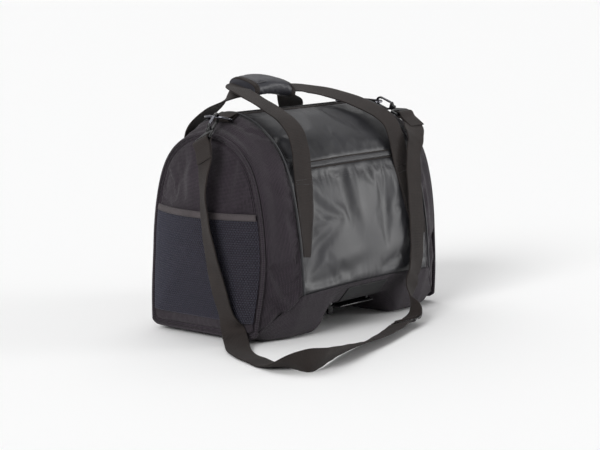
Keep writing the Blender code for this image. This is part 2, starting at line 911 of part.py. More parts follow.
near_bow = ring_on_tab("near", -1, near_ring_seat, math.radians(42))
far_bow = ring_on_tab("far", 1, far_ring_seat, math.radians(30))
near_middle = near_bow[8].lerp(near_bow[9], 0.5)
near_wire = (near_bow[8] - near_bow[9]).normalized()
far_middle = far_bow[-2].lerp(far_bow[-1], 0.35)
far_wire = (far_bow[-2] - far_bow[-1]).normalized()
near_bar = snap_hook("near", near_middle, near_wire, Vector((0.76, 0.25, 0.60)), 0.0, (-0.57, -0.82, 0))
far_bar = snap_hook("far", far_middle, far_wire, Vector((0.0, 0.94, 0.34)), 0.0022, (1, 0, 0))

# Shoulder strap. It hangs from the near hook down the end panel, lies on the ground before the bag and rises
# over the front to the far hook.
near_rows = (
    # across in half end depths, height in end heights, stand-off in strap widths, turn of the webbing in
    # degrees
    (-0.235, 0.760, 0.64, 35),
    (-0.275, 0.680, 0.66, 34),
    (-0.305, 0.600, 0.64, 31),
    (-0.345, 0.505, 0.58, 26),
    (-0.395, 0.410, 0.55, 20),
    (-0.442, 0.316, 0.45, 14),
    (-0.515, 0.222, 0.34, 8),
    (-0.565, 0.129, 0.28, 2),
    (-0.680, 0.050, 0.40, -12),
)
ground_rows = (
    # along in half end lengths, across in half main depths, height in strap widths above resting on the
    # ground, azimuth of the webbing's width in degrees, its tilt from level in degrees
    (-1.32, -0.86, 0.03, -62, 4),
    (-1.43, -1.20, 0.03, -42, 2),
    (-1.52, -1.62, 0.03, -38, 6),
    (-1.50, -1.92, 0.03, -20, 50),
    (-1.36, -2.00, 0.03, 90, 62),
    (-1.12, -1.90, 0.03, 100, 46),
    (-0.86, -1.79, 0.03, 100, 30),
    (-0.50, -1.66, 0.03, 102, 20),
    (-0.20, -1.53, 0.05, 105, 17),
)
slider_row = (0.135, -1.37, 0.10, 108, 17)
rising_rows = (
    (0.335, -1.235, 0.30, 70, 18),
    (0.400, -1.130, 0.88, 30, 8),
)
far_rows = (
    # along in half end lengths, height in main heights, stand-off in strap widths, azimuth of the width in
    # degrees
    (0.46, 0.175, 0.34, 14),
    (0.51, 0.250, 0.27, 8),
    (0.550, 0.330, 0.24, 4),
    (0.570, 0.430, 0.24, 2),
    (0.592, 0.550, 0.26, 0),
    (0.610, 0.660, 0.32, 0),
    (0.640, 0.740, 0.38, 0),
    (0.715, 0.810, 0.50, 6),
)


def strap_end(bar, leaving):
    """Middle line of the strap from its sewn tail round a swivel eye's bar, and the bar's direction."""
    across = bar.to_3x3() @ Vector((1, 0, 0))
    place = frame_from(bar.translation, across * leaving.dot(across) - leaving, across)
    radius = swivel_bar * 0.72 + seat_gap + webbing_wall / 2
    layer = (webbing_wall + seat_gap) / 2
    places = [(layer, -strap_tail * share) for share in (1.0, 0.6, 0.3)]
    places += [(radius * 0.8, -radius)]
    places += arc((0, 0), radius, 0, 180, 6)
    places += [(-radius * 0.8, -radius), (-layer, -0.3 * strap_tail), (-layer, -0.6 * strap_tail)]
    return [place @ Vector((0, y, z)) for z, y in places], across


def ground_place(along, across, rise, azimuth, tilt):
    """A middle point of the strap near the ground and the direction of its width."""
    a, b = math.radians(azimuth - 180), math.radians(tilt)
    resting = (strap_width * abs(math.sin(b)) + webbing_wall) / 2
    place = (along * half_end, across * main_depth / 2, ground + resting + rise * strap_width)
    return (*place, math.cos(a) * math.cos(b), math.sin(a) * math.cos(b), math.sin(b))


def slider_frame():
    """The strap slider's frame, its x along the webbing's width and its y along the webbing."""
    row = ground_place(*slider_row)
    width = Vector(row[3:])
    return frame_from(Vector(row[:3]), Vector((-width.y, width.x, 0)), width)


slider_pitch = slider_bar + slider_slot
weave_half = slider_thickness / 2 + seat_gap + webbing_wall / 2
bar_reach = slider_bar / 2 + 0.0005
weave_rows = (
    # along the webbing and up from the slider's middle
    (-slider_pitch - 3 * slider_bar, 0.0),
    (-slider_pitch - bar_reach, -weave_half),
    (-slider_pitch + bar_reach, -weave_half),
    (-bar_reach, weave_half),
    (bar_reach, weave_half),
    (slider_pitch - bar_reach, -weave_half),
    (slider_pitch + bar_reach, -weave_half),
    (slider_pitch + 3 * slider_bar, 0.0),
)


def strap_route():
    """Middle points of the strap and the directions of its width, from the near hook to the far one."""
    near, near_across = strap_end(near_bar, Vector((-0.17, -0.06, -0.98)))
    far, far_across = strap_end(far_bar, Vector((0.0, -0.80, -0.60)))
    far.reverse()
    rows = [(*near[-1], *near_across)]
    for across, height, off, turn in near_rows:
        point = near_face(across * end_depth / 2, ground + height * end_height, off * strap_width)
        angle = math.radians(turn)
        rows.append((*point, -math.sin(angle), -math.cos(angle), 0.0))
    rows += [ground_place(*row) for row in ground_rows]
    slider = slider_frame()
    slider_across = slider.to_3x3() @ Vector((1, 0, 0))
    weave = [(*(slider @ Vector((0, y, z))), *slider_across) for y, z in weave_rows]
    woven = len(rows)
    rows += [weave[0], weave[-1]]
    rows += [ground_place(*row) for row in rising_rows]
    for along, height, off, azimuth in far_rows:
        x = along * half_end
        point = skin(x, turn_at_height(x, height * main_height), off * strap_width)[0]
        a = math.radians(azimuth)
        rows.append((*point, math.cos(a), math.sin(a), 0.0))
    rows.append((*far[0], *far_across))
    middle = [smooth(rows, k / 3) for k in range(3 * woven)] + weave
    middle += [smooth(rows, k / 3) for k in range(3 * (woven + 1) + 1, 3 * (len(rows) - 1) + 1)]
    route = [(*place, *near_across) for place in near[:-1]] + middle
    return route + [(*place, *far_across) for place in far[1:]]


def shoulder_strap():
    route = [(Vector(row[:3]), Vector(row[3:])) for row in strap_route()]
    stops = []
    last = None
    for k, (place, width) in enumerate(route):
        along = (route[min(k + 1, len(route) - 1)][0] - route[max(k - 1, 0)][0]).normalized()
        across = (width - along * width.dot(along)).normalized()
        if last is not None and across.dot(last) < 0:
            across = -across
        last = across
        half = across * strap_width / 2
        sunk = ground + seat_gap + webbing_wall / 2 + abs(half.z) - place.z
        place = place + Vector((0, 0, max(sunk, 0.0)))
        stops.append((place - half, place + half, along.cross(across)))
    return ribbon("shoulder_strap", stops, webbing_wall, webbing)


shoulder_strap()

slider_room = strap_width + strap_room
slider_slots = [rectangle(slider_room, slider_slot, (0, side * slider_pitch / 2)) for side in (-1, 1)]
slider_rim = rectangle(slider_room + 2 * slider_bar, 2 * slider_pitch + slider_bar, corner=eye_corner)
flat_part("strap_slider", [slider_rim, *slider_slots], slider_thickness, slider_frame(), plastic)


# Rack adapter under the base, with its sprung release lever
def adapter_outline():
    """Plan of the adapter plate, with an ear at each end of the lever."""
    x, y = plate_width / 2, plate_length / 2
    inner = lever_width / 2 + lever_gap
    ear = y + 2 * lever_knuckle + lever_gap
    corner = (x - adapter_corner, y - adapter_corner)
    places = arc(corner, adapter_corner, 0, 90, 3)
    places += arc((-corner[0], corner[1]), adapter_corner, 90, 180, 3)
    places += [(-x, -y), (-inner - ear_width, -ear), (-inner, -ear), (-inner, -y)]
    places += [(inner, -y), (inner, -ear), (inner + ear_width, -ear), (x, -y)]
    return places


plate_place = Matrix.Translation((0, 0, plate_thickness / 2))
flat_part("adapter_plate", [adapter_outline()], plate_thickness, plate_place, plastic)


def lever_outline():
    """Side view of the lever with its pivot at 0, 0: a round knuckle and a blade that thins to the front."""
    tip = lever_knuckle + lever_reach
    blade = [
        (tip - lever_tip, -0.5 * lever_knuckle),
        (tip, -0.27 * lever_knuckle),
        (tip, 0.2 * lever_knuckle),
        (tip - lever_tip, 0.37 * lever_knuckle),
    ]
    return arc((0, 0), lever_knuckle, 30, 330, 10) + blade


lever_pivot = Vector((0, -plate_length / 2 - lever_gap - lever_knuckle, plate_thickness / 2 - lever_drop))
lever_place = frame_from(lever_pivot, Vector((0, 0, 1)), (0, -1, 0))
flat_part("release_lever", [lever_outline()], lever_width, lever_place, plastic)

latch_middle = (-0.3 * lever_width, -plate_length / 2 + latch_inset, -seat_gap - latch_drop / 2)
latch_size = (latch_width, latch_depth, latch_drop)
block("rack_latch", latch_size, Matrix.Translation(latch_middle), plastic, latch_corner)

patch_stations = (-patch_width / 2, -half_base[0], 0.0, half_base[0], patch_width / 2)
patch_turns = [2.0 - k / (2 * len(sole_rows) - 2) for k in (4, 3, 2, 1, 0.6)]
body_wall("base_patch", patch_stations, patch_turns, patch_wall, tarpaulin, lift=patch_wall + seat_gap)
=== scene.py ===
"""Bicycle duffle bag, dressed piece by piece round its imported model, in the order in which it is put together."""

import math

import bmesh
import bpy
from mathutils import Matrix, Vector


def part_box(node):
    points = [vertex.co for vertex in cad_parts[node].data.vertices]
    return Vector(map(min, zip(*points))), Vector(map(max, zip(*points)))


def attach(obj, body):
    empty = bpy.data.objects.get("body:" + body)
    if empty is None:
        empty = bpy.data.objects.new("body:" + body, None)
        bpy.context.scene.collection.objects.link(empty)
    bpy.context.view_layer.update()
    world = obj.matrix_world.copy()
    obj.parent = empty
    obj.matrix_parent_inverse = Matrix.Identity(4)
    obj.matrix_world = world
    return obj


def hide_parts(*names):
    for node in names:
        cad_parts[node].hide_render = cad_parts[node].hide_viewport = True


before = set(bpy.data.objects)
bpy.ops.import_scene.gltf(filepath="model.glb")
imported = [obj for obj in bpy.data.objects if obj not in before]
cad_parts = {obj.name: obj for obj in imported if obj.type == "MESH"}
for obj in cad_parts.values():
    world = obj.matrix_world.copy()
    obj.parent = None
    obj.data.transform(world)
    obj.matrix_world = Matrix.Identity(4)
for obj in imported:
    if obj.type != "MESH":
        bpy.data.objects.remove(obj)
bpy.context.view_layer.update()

# Side panels. Two sheets of PVC-coated tarpaulin, one on each side, sewn to the gussets at their ends and to the
# base along their lower edges. The cloth is fuller than the gap it spans, so it bulges and buckles softly.
main_length, end_length = 0.331, 0.445
main_depth, end_depth = 0.296, 0.232
main_height, end_height = 0.3505, 0.322
main_edge_height, end_edge_height = 0.073, 0.0156
main_sole_depth, end_sole_depth = 0.252, 0.200
end_sole_height = 0.010
end_crown = 0.026
end_foot, end_foot_height = 0.012, 0.140
main_swell = 0.004
recess_height, recess_width, recess_slope = 0.0403, 0.180, 0.040
ground = -0.030
half_main, half_end = main_length / 2, end_length / 2
arch_length, base_length = 0.75, 0.36
zip_tape_width = 0.030
arch_rows = (
    # main across, main rise, end across, end rise
    (1.000, 0.000, 0.935, 0.000),
    (0.964, 0.240, 0.990, 0.240),
    (0.903, 0.440, 0.985, 0.450),
    (0.820, 0.625, 0.915, 0.650),
    (0.690, 0.785, 0.790, 0.805),
    (0.500, 0.893, 0.600, 0.908),
    (0.260, 0.968, 0.320, 0.975),
    (0.000, 1.000, 0.000, 1.000),
)
whole_arch = arch_rows + tuple((-a, b, -c, d) for a, b, c, d in reversed(arch_rows[:-1]))
sole_rows = (
    # share of the edge's depth, share of the sole's depth, share of the edge's height
    (1.00, 0.00, 1.00),
    (0.66, 0.34, 0.66),
    (0.30, 0.70, 0.34),
    (0.04, 0.96, 0.14),
    (0.00, 0.93, 0.03),
    (0.00, 0.82, 0.00),
    (0.00, 0.42, 0.00),
    (0.00, 0.00, 0.00),
)
dents = (
    # along, over, share of length across, share of way across, depth in main depths
    (-0.80, 0.100, 0.30, 0.060, 0.020),
    (-0.30, 0.170, 0.45, 0.050, 0.012),
    (0.45, 0.120, 0.35, 0.060, 0.010),
    (0.10, 0.380, 0.55, 0.070, 0.014),
    (-0.60, 0.300, 0.28, 0.045, 0.016),
    (0.70, 0.330, 0.25, 0.045, 0.010),
    (0.00, 0.640, 0.60, 0.080, 0.012),
    (-0.50, 0.860, 0.40, 0.070, 0.014),
    (0.55, 0.880, 0.40, 0.070, 0.012),
)


def smooth(rows, at):
    """The row at a fractional place in a table, on a smooth curve through its rows."""
    first = min(int(at), len(rows) - 2)
    part = at - first
    start, stop = rows[first], rows[first + 1]
    before = rows[first - 1] if first else [2 * a - b for a, b in zip(start, stop)]
    after = rows[first + 2] if first + 2 < len(rows) else [2 * b - a for a, b in zip(start, stop)]
    values = []
    for z, a, b, c in zip(before, start, stop, after):
        bend = b - z + part * (2 * z - 5 * a + 4 * b - c + part * (3 * (a - b) + c - z))
        values.append(a + 0.5 * part * bend)
    return values


def ease(share):
    share = min(max(share, 0.0), 1.0)
    return share * share * (3 - 2 * share)


def spread(low, high, steps):
    return [low + (high - low) * k / steps for k in range(steps + 1)]


def dent_at(x, turn):
    total = 0.0
    for along, over, wide, high, depth in dents:
        away = ((x / half_main - along) / wide) ** 2 + ((turn - over) / high) ** 2
        total += depth * main_depth * math.exp(-away)
    return total * (1 - ease((abs(x) - 0.86 * half_main) / (0.14 * half_main)))


def sole_height_at(x):
    into_recess = (recess_width / 2 + recess_slope / 2 - abs(x)) / recess_slope
    half_rise = 0.5 * (half_end - half_main)
    into_end = (abs(x) - half_end + half_rise) / half_rise
    return recess_height * ease(into_recess) + end_sole_height * ease(into_end)


def foot_at(height):
    return end_foot * ease(1 - height / end_foot_height)


def body(x, turn):
    """A point of the skin. turn goes from 0 at the front's lower edge over the top to 1, and on under it to 2."""
    share = max(0.0, (abs(x) - half_main) / (half_end - half_main))
    swell = main_swell * max(0.0, 1 - (x / half_main) ** 2)
    splay = math.copysign(share, x)
    edge_height = main_edge_height + swell + (end_edge_height - main_edge_height - swell) * share
    if turn <= 1:
        row = smooth(whole_arch, turn * (len(whole_arch) - 1))
        across = row[0] * (main_depth / 2 + swell) * (1 - share) + row[2] * end_depth / 2 * share
        top = main_height * (1 - share) + end_height * share
        height = edge_height + (top - edge_height) * (row[1] * (1 - share) + row[3] * share)
        inward = Vector((0, across, 0.5 * main_height - height)).normalized()
        push = dent_at(x, turn)
        along = x + splay * foot_at(height)
        return Vector((along, -across + push * inward.y, ground + height + push * inward.z))
    side = 1 if turn < 1.5 else -1
    place = (turn - 1) * 2 if side > 0 else (2 - turn) * 2
    at = place * (len(sole_rows) - 1)
    first = min(int(at), len(sole_rows) - 2)
    low, high = sole_rows[first], sole_rows[first + 1]
    edge_share, sole_share, rise = (a + (b - a) * (at - first) for a, b in zip(low, high))
    edge_depth = (main_depth / 2 + swell) * (1 - share) + end_depth / 2 * arch_rows[0][2] * share
    sole_depth = main_sole_depth + (end_sole_depth - main_sole_depth) * share
    across = edge_share * edge_depth + sole_share * sole_depth / 2
    low_height = sole_height_at(x)
    height = low_height + (edge_height - low_height) * rise
    return Vector((x + splay * foot_at(height), side * across, ground + height))


def skin(x, turn, lift=0.0):
    """A point that stands lift out from the skin, and the skin's outward direction there."""
    step = 0.004
    along = body(x + step, turn) - body(x - step, turn)
    over = body(x, turn + step) - body(x, turn - step)
    out = along.cross(over).normalized()
    return body(x, turn) + out * lift, out


def turn_at_height(x, height):
    low, high = 0.0, 0.5
    for _ in range(24):
        middle = (low + high) / 2
        if body(x, middle).z - ground < height:
            low = middle
        else:
            high = middle
    return low


def colour(code):
    """Linear colour of an sRGB hex value."""
    parts = [int(code[k : k + 2], 16) / 255 for k in (1, 3, 5)]
    return (*[c / 12.92 if c <= 0.04045 else ((c + 0.055) / 1.055) ** 2.4 for c in parts], 1.0)


def feed(tree, node, inputs):
    """Sets a node's inputs, each to a number, a colour, another node or one of its outputs."""
    for name, value in inputs.items():
        if isinstance(value, bpy.types.Node):
            value = value.outputs[0]
        if isinstance(value, bpy.types.NodeSocket):
            tree.links.new(value, node.inputs[name])
        else:
            node.inputs[name].default_value = value


def add_node(tree, kind, settings, inputs):
    node = tree.nodes.new("ShaderNode" + kind)
    for name, value in settings.items():
        setattr(node, name, value)
    feed(tree, node, inputs)
    return node


def new_material(name, constants):
    """A material, its node tree and its shader, with numbers and colours set on the shader's own sockets."""
    material = bpy.data.materials.new(name)
    material.use_nodes = True
    shader = material.node_tree.nodes["Principled BSDF"]
    feed(material.node_tree, shader, constants)
    return material, material.node_tree, shader


def thread_wave(tree, across, pitch):
    """A wave that rises and falls once over each two pitches of a coordinate."""
    phase = add_node(tree, "Math", {"operation": "MULTIPLY"}, {0: across, 1: math.pi / pitch})
    return add_node(tree, "Math", {"operation": "SINE"}, {0: phase})


def lay_uv(work, rule):
    """Gives each corner of a mesh the UV place that rule makes from its point and its present UV place."""
    layer = work.loops.layers.uv.active or work.loops.layers.uv.new("UVMap")
    for face in work.faces:
        for loop in face.loops:
            loop[layer].uv = rule(loop.vert.co, loop[layer].uv)


def sheet_of_quads(columns, rows, place, size):
    """A sheet of quads. place turns shares across and along into a point. size is its flat width and length."""
    work = bmesh.new()
    bmesh.ops.create_grid(work, x_segments=columns, y_segments=rows, size=0.5)
    lay_uv(work, lambda point, _: ((point.x + 0.5) * size[0], (point.y + 0.5) * size[1]))
    for vert in work.verts:
        vert.co = place(vert.co.x + 0.5, vert.co.y + 0.5)
    return work


def finish_piece(name, work, material, body_name="bag"):
    """The object of a finished bmesh, riding on its body."""
    mesh = bpy.data.meshes.new(name)
    work.to_mesh(mesh)
    work.free()
    mesh.shade_smooth()
    piece = bpy.data.objects.new(name, mesh)
    piece.data.materials.append(material)
    bpy.context.scene.collection.objects.link(piece)
    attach(piece, body_name)
    return piece


def thicken(piece, wall, offset=-1.0):
    """Cloth's thickness, to the inside unless offset says otherwise."""
    solid = piece.modifiers.new("thickness", "SOLIDIFY")
    solid.thickness = wall
    solid.offset = offset


def relax(piece, fullness, most, held, frames=16):
    """Cloth that is fuller than its frame buckles by at most this much. held gives 1 where a point stays put."""
    rest = [vert.co.copy() for vert in piece.data.vertices]
    keep = [held(point) for point in rest]
    pins = piece.vertex_groups.new(name="pins")
    for index, weight in enumerate(keep):
        if weight >= 0.999:
            pins.add([index], 1.0, "REPLACE")
    cloth = piece.modifiers.new("cloth", "CLOTH")
    stiffness = {"tension": 12, "compression": 12, "shear": 4, "bending": 1.2}
    for kind, value in stiffness.items():
        setattr(cloth.settings, kind + "_stiffness", value)
    cloth.settings.quality = 4
    cloth.settings.mass = 0.2
    cloth.settings.shrink_min = -fullness
    cloth.settings.vertex_group_mass = "pins"
    cloth.settings.effector_weights.gravity = 0.0
    cloth.collision_settings.use_collision = False
    cloth.point_cache.frame_start, cloth.point_cache.frame_end = 1, frames
    scene = bpy.context.scene
    for step in range(1, frames + 1):
        scene.frame_set(step)
    evaluated = piece.evaluated_get(bpy.context.evaluated_depsgraph_get())
    moved = [vert.co.copy() for vert in evaluated.data.vertices]
    piece.modifiers.remove(cloth)
    piece.vertex_groups.remove(pins)
    scene.frame_set(1)
    for vert, start, end, weight in zip(piece.data.vertices, rest, moved, keep):
        away = (end - start) * (1 - weight)
        if away.length > most:
            away = away.normalized() * most
        vert.co = start + away
    piece.data.update()


# Tarpaulin: polyester scrim coated with PVC, calendered to a satin face. The scrim shows as a faint grid, and
# handling leaves it a little shinier in places. The scrim's 1.3 mm threads are drawn as they are.
tarpaulin, tree, shader = new_material(
    "pvc_coated_tarpaulin", {"Base Color": colour("#454548"), "Roughness": 0.42, "IOR": 1.53}
)
scrim_pitch = 0.0013
place = add_node(tree, "TexCoord", {}, {})
cloud = add_node(tree, "TexNoise", {}, {"Vector": place.outputs["Object"], "Scale": 14.0, "Detail": 4.0})
grain = add_node(tree, "TexNoise", {}, {"Vector": place.outputs["Object"], "Scale": 900.0, "Detail": 2.0})
drift = {"Value": cloud, "From Min": 0.3, "From Max": 0.7}
shade = add_node(tree, "MapRange", {}, drift)
satin = add_node(tree, "MapRange", {}, {**drift, "To Min": 0.42, "To Max": 0.54})
coat = add_node(tree, "MixRGB", {}, {"Fac": shade, "Color1": colour("#202023"), "Color2": colour("#2e2e32")})
parts = add_node(tree, "SeparateXYZ", {}, {"Vector": place.outputs["UV"]})
warp, weft = (thread_wave(tree, parts.outputs[axis], scrim_pitch / 2) for axis in ("X", "Y"))
scrim = add_node(tree, "Math", {"operation": "ADD"}, {0: warp, 1: weft})
lumps = add_node(tree, "Bump", {}, {"Height": grain, "Strength": 0.45, "Distance": 0.0003})
grid = add_node(tree, "Bump", {}, {"Height": scrim, "Strength": 0.12, "Distance": 0.0002, "Normal": lumps})
feed(tree, shader, {"Base Color": coat, "Roughness": satin, "Normal": grid})

panel_columns, panel_rows = 104, 96
tarpaulin_wall = 0.0016
seam_gap = 0.0006
over_gap = seam_gap / 2 / arch_length
zip_share = zip_tape_width / 2 / arch_length
seam_tuck, tuck_reach = 0.0016, 0.0035
pucker_depth, pucker_reach = 0.0006, 0.012
panel_reach = half_main - seam_gap / 2


def tucked(x, turn, edges, pull=seam_tuck):
    """A point of a sewn panel. It is pulled in at its edges, whose distances in metres are given, and puckers there."""
    point, out = skin(x, turn)
    dip = 0.0
    for distance, along in edges:
        near = math.exp(-((distance / tuck_reach) ** 2))
        pucker = math.exp(-distance / pucker_reach) * (1 - near) * (0.6 + 0.4 * math.sin(along * 37 + 1))
        dip += pull * near + pucker_depth * pucker * math.sin(along * 400 + 2.6 * math.sin(along * 71))
    return point - out * dip


side_folds = (
    # start and end along the panel and up from its lower edge, half width, depth, all in millimetres
    (-164, 26, -76, 78, 9, 2.6),
    (-164, 14, -118, 40, 6, 1.8),
    (-150, 6, -10, 24, 10, 2.2),
    (-124, 136, -62, 82, 11, 2.0),
    (-44, 176, -30, 62, 18, 2.6),
    (0, 178, 66, 118, 14, 1.6),
    (72, 150, 52, 58, 14, 2.2),
    (120, 30, 40, 14, 10, 1.6),
    (-112, 170, -20, 158, 14, 2.2),
    (-60, 330, -90, 236, 18, 2.0),
    (30, 335, 70, 240, 18, 2.2),
    (-152, 250, -146, 208, 13, 11.0),
    (-160, 180, -138, 196, 6, 4.0),
)


def fold_depth(rows, along, up):
    """How far folds pull the cloth in at a place: each is a valley with a soft ridge along one side."""
    total = 0.0
    for x0, up0, x1, up1, half, depth in rows:
        run = Vector((x1 - x0, up1 - up0)) / 1000
        away = Vector((along - x0 / 1000, up - up0 / 1000))
        share = away.dot(run) / run.length_squared
        if -0.4 < share < 1.4:
            off = (run.x * away.y - run.y * away.x) / run.length * 1000 / half
            taper = ease((share + 0.3) / 0.5) * ease((1.3 - share) / 0.6)
            total += depth / 1000 * taper * (math.exp(-off * off) - 0.5 * math.exp(-((off - 1.7) ** 2)))
    return total


pocket_zip_height, hang_depth, sunk_depth = 0.272, 0.0012, 0.0020
pocket_zip_up = turn_at_height(0.0, pocket_zip_height) * arch_length


def hung_from_zip(x, up):
    """Small folds that hang from the pocket's zip, and a few above it."""
    below = pocket_zip_up - up
    reach = ease((abs(below) - 0.008) / 0.010) * math.exp(-abs(below) / (0.030 if below > 0 else 0.014))
    wave = hang_depth * reach * math.sin(x * 300 + 1.7 * math.sin(x * 83 + 0.6))
    sunk = sunk_depth * math.exp(-((below / 0.009) ** 4))
    return (wave + sunk) * ease((0.125 - abs(x)) / 0.02)


def side_point(front):
    low, high = over_gap, 0.5 - zip_share - over_gap

    def place(across, over):
        x = panel_reach * (2 * across - 1) * (1 if front else -1)
        turn = low + (high - low) * over
        edges = [(panel_reach - abs(x), turn * arch_length)]
        edges.append(((turn - low) * arch_length, x))
        edges.append(((high - turn) * arch_length, x))
        up = turn * arch_length
        sewn = ease(min(distance for distance, _ in edges) / 0.012)
        deep = fold_depth(side_folds, x if front else -x, up) + (hung_from_zip(x, up) if front else 0.0)
        turn = turn if front else 1 - turn
        return tucked(x, turn, edges) - skin(x, turn)[1] * deep * sewn

    return place


handle_width, handle_spread, handle_lean, handle_shift = 0.042, 0.258, 0.016, -0.007
sewn_low_height, sewn_top_height, sewn_taper = 0.132, 0.252, 0.012


def under_trim(x, height):
    """1 under the sewn handle legs and the pocket's zip, falling to 0 beside them."""
    most = 0.0
    share = (height - sewn_low_height) / (sewn_top_height - sewn_low_height)
    beyond = max(0.0, -share, share - 1) * (sewn_top_height - sewn_low_height)
    share = min(max(share, 0.0), 1.0)
    for leg in (-1, 1):
        centre = leg * (handle_spread / 2 + handle_lean * (1 - share) + sewn_taper * (1 - share) ** 2)
        beside = max(0.0, abs(x - centre - handle_shift) - handle_width / 2)
        most = max(most, 1 - ease(math.hypot(beside, beyond) / 0.016))
    beside = max(0.0, abs(height - pocket_zip_height) - 0.010)
    along = max(0.0, abs(x - handle_shift) - handle_spread / 2)
    return max(most, 1 - ease(math.hypot(beside, along) / 0.012))


def panel_held(point):
    to_end = ease(1 - (panel_reach - abs(point.x)) / 0.012)
    to_zip = ease(1 - (abs(point.y) - zip_tape_width / 2) / 0.012)
    to_base = ease(1 - (point.z - ground - main_edge_height - main_swell) / 0.010)
    return max(to_end, to_zip, to_base, under_trim(point.x, point.z - ground))


for name, front in (("front_panel", True), ("back_panel", False)):
    work = sheet_of_quads(panel_columns, panel_rows, side_point(front), (main_length, arch_length / 2))
    piece = finish_piece(name + "_tarpaulin", work, tarpaulin)
    relax(piece, 0.010, 0.0016, panel_held)
    thicken(piece, tarpaulin_wall)
    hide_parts(name)

# Gussets. A band of padded woven polyester runs over the bag at each end, between the tarpaulin and the piped
# edge of the end panel. It is soft, so it folds a little towards the lower corners.
weave_pitch = 0.0020
padded_wall = 0.0026

# Polyester: 600 denier solution-dyed yarn in a plain weave, matt with a faint violet cast. Each thread passes over and
# under the next. The gaps between the crowns are painted near black as shade and the crowns lighter, mixed with a drift
# in tone. The threads are 0.55 mm apart, and are drawn 2 mm apart so that they show.
polyester, tree, shader = new_material(
    "woven_polyester_600_denier",
    {"Base Color": colour("#453b45"), "Roughness": 0.8, "Specular IOR Level": 0.3, "Sheen Weight": 0.1},
)
place = add_node(tree, "TexCoord", {}, {})
parts = add_node(tree, "SeparateXYZ", {}, {"Vector": place.outputs["UV"]})
warp, weft = (thread_wave(tree, parts.outputs[axis], weave_pitch) for axis in ("X", "Y"))
over = add_node(tree, "Math", {"operation": "MULTIPLY"}, {0: warp, 1: weft})
crown = add_node(tree, "Math", {"operation": "ABSOLUTE"}, {0: over})
cloud = add_node(tree, "TexNoise", {}, {"Vector": place.outputs["Object"], "Scale": 11.0, "Detail": 5.0})
slub = add_node(tree, "TexNoise", {}, {"Vector": place.outputs["UV"], "Scale": 300.0, "Detail": 3.0})
mottle = add_node(tree, "Math", {"operation": "ADD"}, {0: cloud, 1: slub})
tone_and_gap_shade_factor = add_node(tree, "Math", {"operation": "MULTIPLY"}, {0: mottle, 1: crown})
# The near-black first shade is painted shade in the gaps between the threads, and the noise adds a drift in tone.
yarn_tone_and_gap_shade = add_node(tree, "MixRGB", {}, {"Fac": tone_and_gap_shade_factor, "Color1": colour("#060406"), "Color2": colour("#453b45")})
lumps = add_node(tree, "Bump", {}, {"Height": slub, "Strength": 0.5, "Distance": 0.0008})
threads = add_node(tree, "Bump", {}, {"Height": crown, "Strength": 1.0, "Distance": 0.0005, "Normal": lumps})
feed(tree, shader, {"Base Color": yarn_tone_and_gap_shade, "Normal": threads})

gusset_folds = (
    # start and end from the seam and up from the lower edge, half width, depth, all in millimetres
    (16, 372, 24, 286, 5, 2.2),
    (36, 360, 44, 262, 6, 2.4),
    (8, 262, 22, 306, 5, 1.8),
    (30, 226, 34, 96, 9, 2.4),
    (46, 72, 22, 18, 5, 2.8),
    (12, 120, 7, 40, 5, 1.6),
    (24, 160, 48, 196, 7, 1.6),
)


def gusset_point(side):
    def place(across, over):
        share = across if side > 0 else 1 - across
        x = side * (half_main + seam_gap / 2 + (half_end - half_main - seam_gap) * share)
        turn = over_gap + (1 - 2 * over_gap) * over
        edges = [((abs(x) - half_main), turn * arch_length), (half_end - abs(x), turn * arch_length)]
        edges += [(turn * arch_length, x), ((1 - turn) * arch_length, x)]
        sewn = ease(min(distance for distance, _ in edges) / 0.008)
        deep = fold_depth(gusset_folds, abs(x) - half_main, min(turn, 1 - turn) * arch_length)
        return tucked(x, turn, edges) - skin(x, turn)[1] * deep * sewn

    return place


def gusset_held(point):
    low, high = abs(point.x) - half_main, half_end - abs(point.x)
    near_tab = math.hypot(max(0.0, abs(point.y) - 0.018), max(0.0, 0.262 - point.z + ground))
    return max(ease(1 - low / 0.007), ease(1 - high / 0.007), ease(1 - near_tab / 0.014))


for prefix, side in (("near", -1), ("far", 1)):
    work = sheet_of_quads(20, 220, gusset_point(side), (half_end - half_main, arch_length))
    piece = finish_piece(prefix + "_gusset_cloth", work, polyester)
    relax(piece, 0.04, 0.0045, gusset_held)
    thicken(piece, padded_wall)
    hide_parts(prefix + "_gusset")

# End panels. One piece of padded woven polyester fills each arched end. It is crowned by its foam backing, and
# its lower part stands out over the feet.
sewn_gap = 0.0012
groove_depth, groove_place, groove_half = 0.0034, 0.0066, 0.0019
end_face = half_end + sewn_gap
end_middle = Vector((0.0, ground + end_height / 2))

# The loop round an end panel as places across and up, and its angles and distances from the panel's middle.
outline = [body(half_end, turn).yz for turn in spread(0.0, 1.0, 84) + spread(1.0, 2.0, 56)[1:-1]]
rim = sorted((math.atan2(p.y - end_middle.y, p.x), (p - end_middle).length) for p in outline)


def rim_at(angle):
    """Distance from the end panel's middle to its outline at an angle."""
    last = (rim[-1][0] - 2 * math.pi, rim[-1][1])
    for row in rim + [(rim[0][0] + 2 * math.pi, rim[0][1])]:
        if row[0] >= angle:
            part = (angle - last[0]) / max(row[0] - last[0], 1e-9)
            return last[1] + (row[1] - last[1]) * part
        last = row
    return last[1]


def outline_share(y, z):
    away = Vector((y, z)) - end_middle
    return away.length / rim_at(math.atan2(away.y, away.x)) if away.length > 1e-6 else 0.0


def end_point(side, y, z, out):
    return Vector((side * (end_face + foot_at(z - ground) + out), y, z))


def near_face(y, z, lift=0.0):
    """A point that stands lift out from the near end panel."""
    return end_point(-1, y, z, end_crown * (1 - outline_share(y, z) ** 2) + lift)


end_folds = (
    # start and end across the panel and up from the ground, half width, depth, all in millimetres
    (30, 292, 58, 214, 15, 2.6),
    (-56, 276, -62, 206, 12, 2.2),
    (4, 250, -8, 200, 10, 1.4),
)


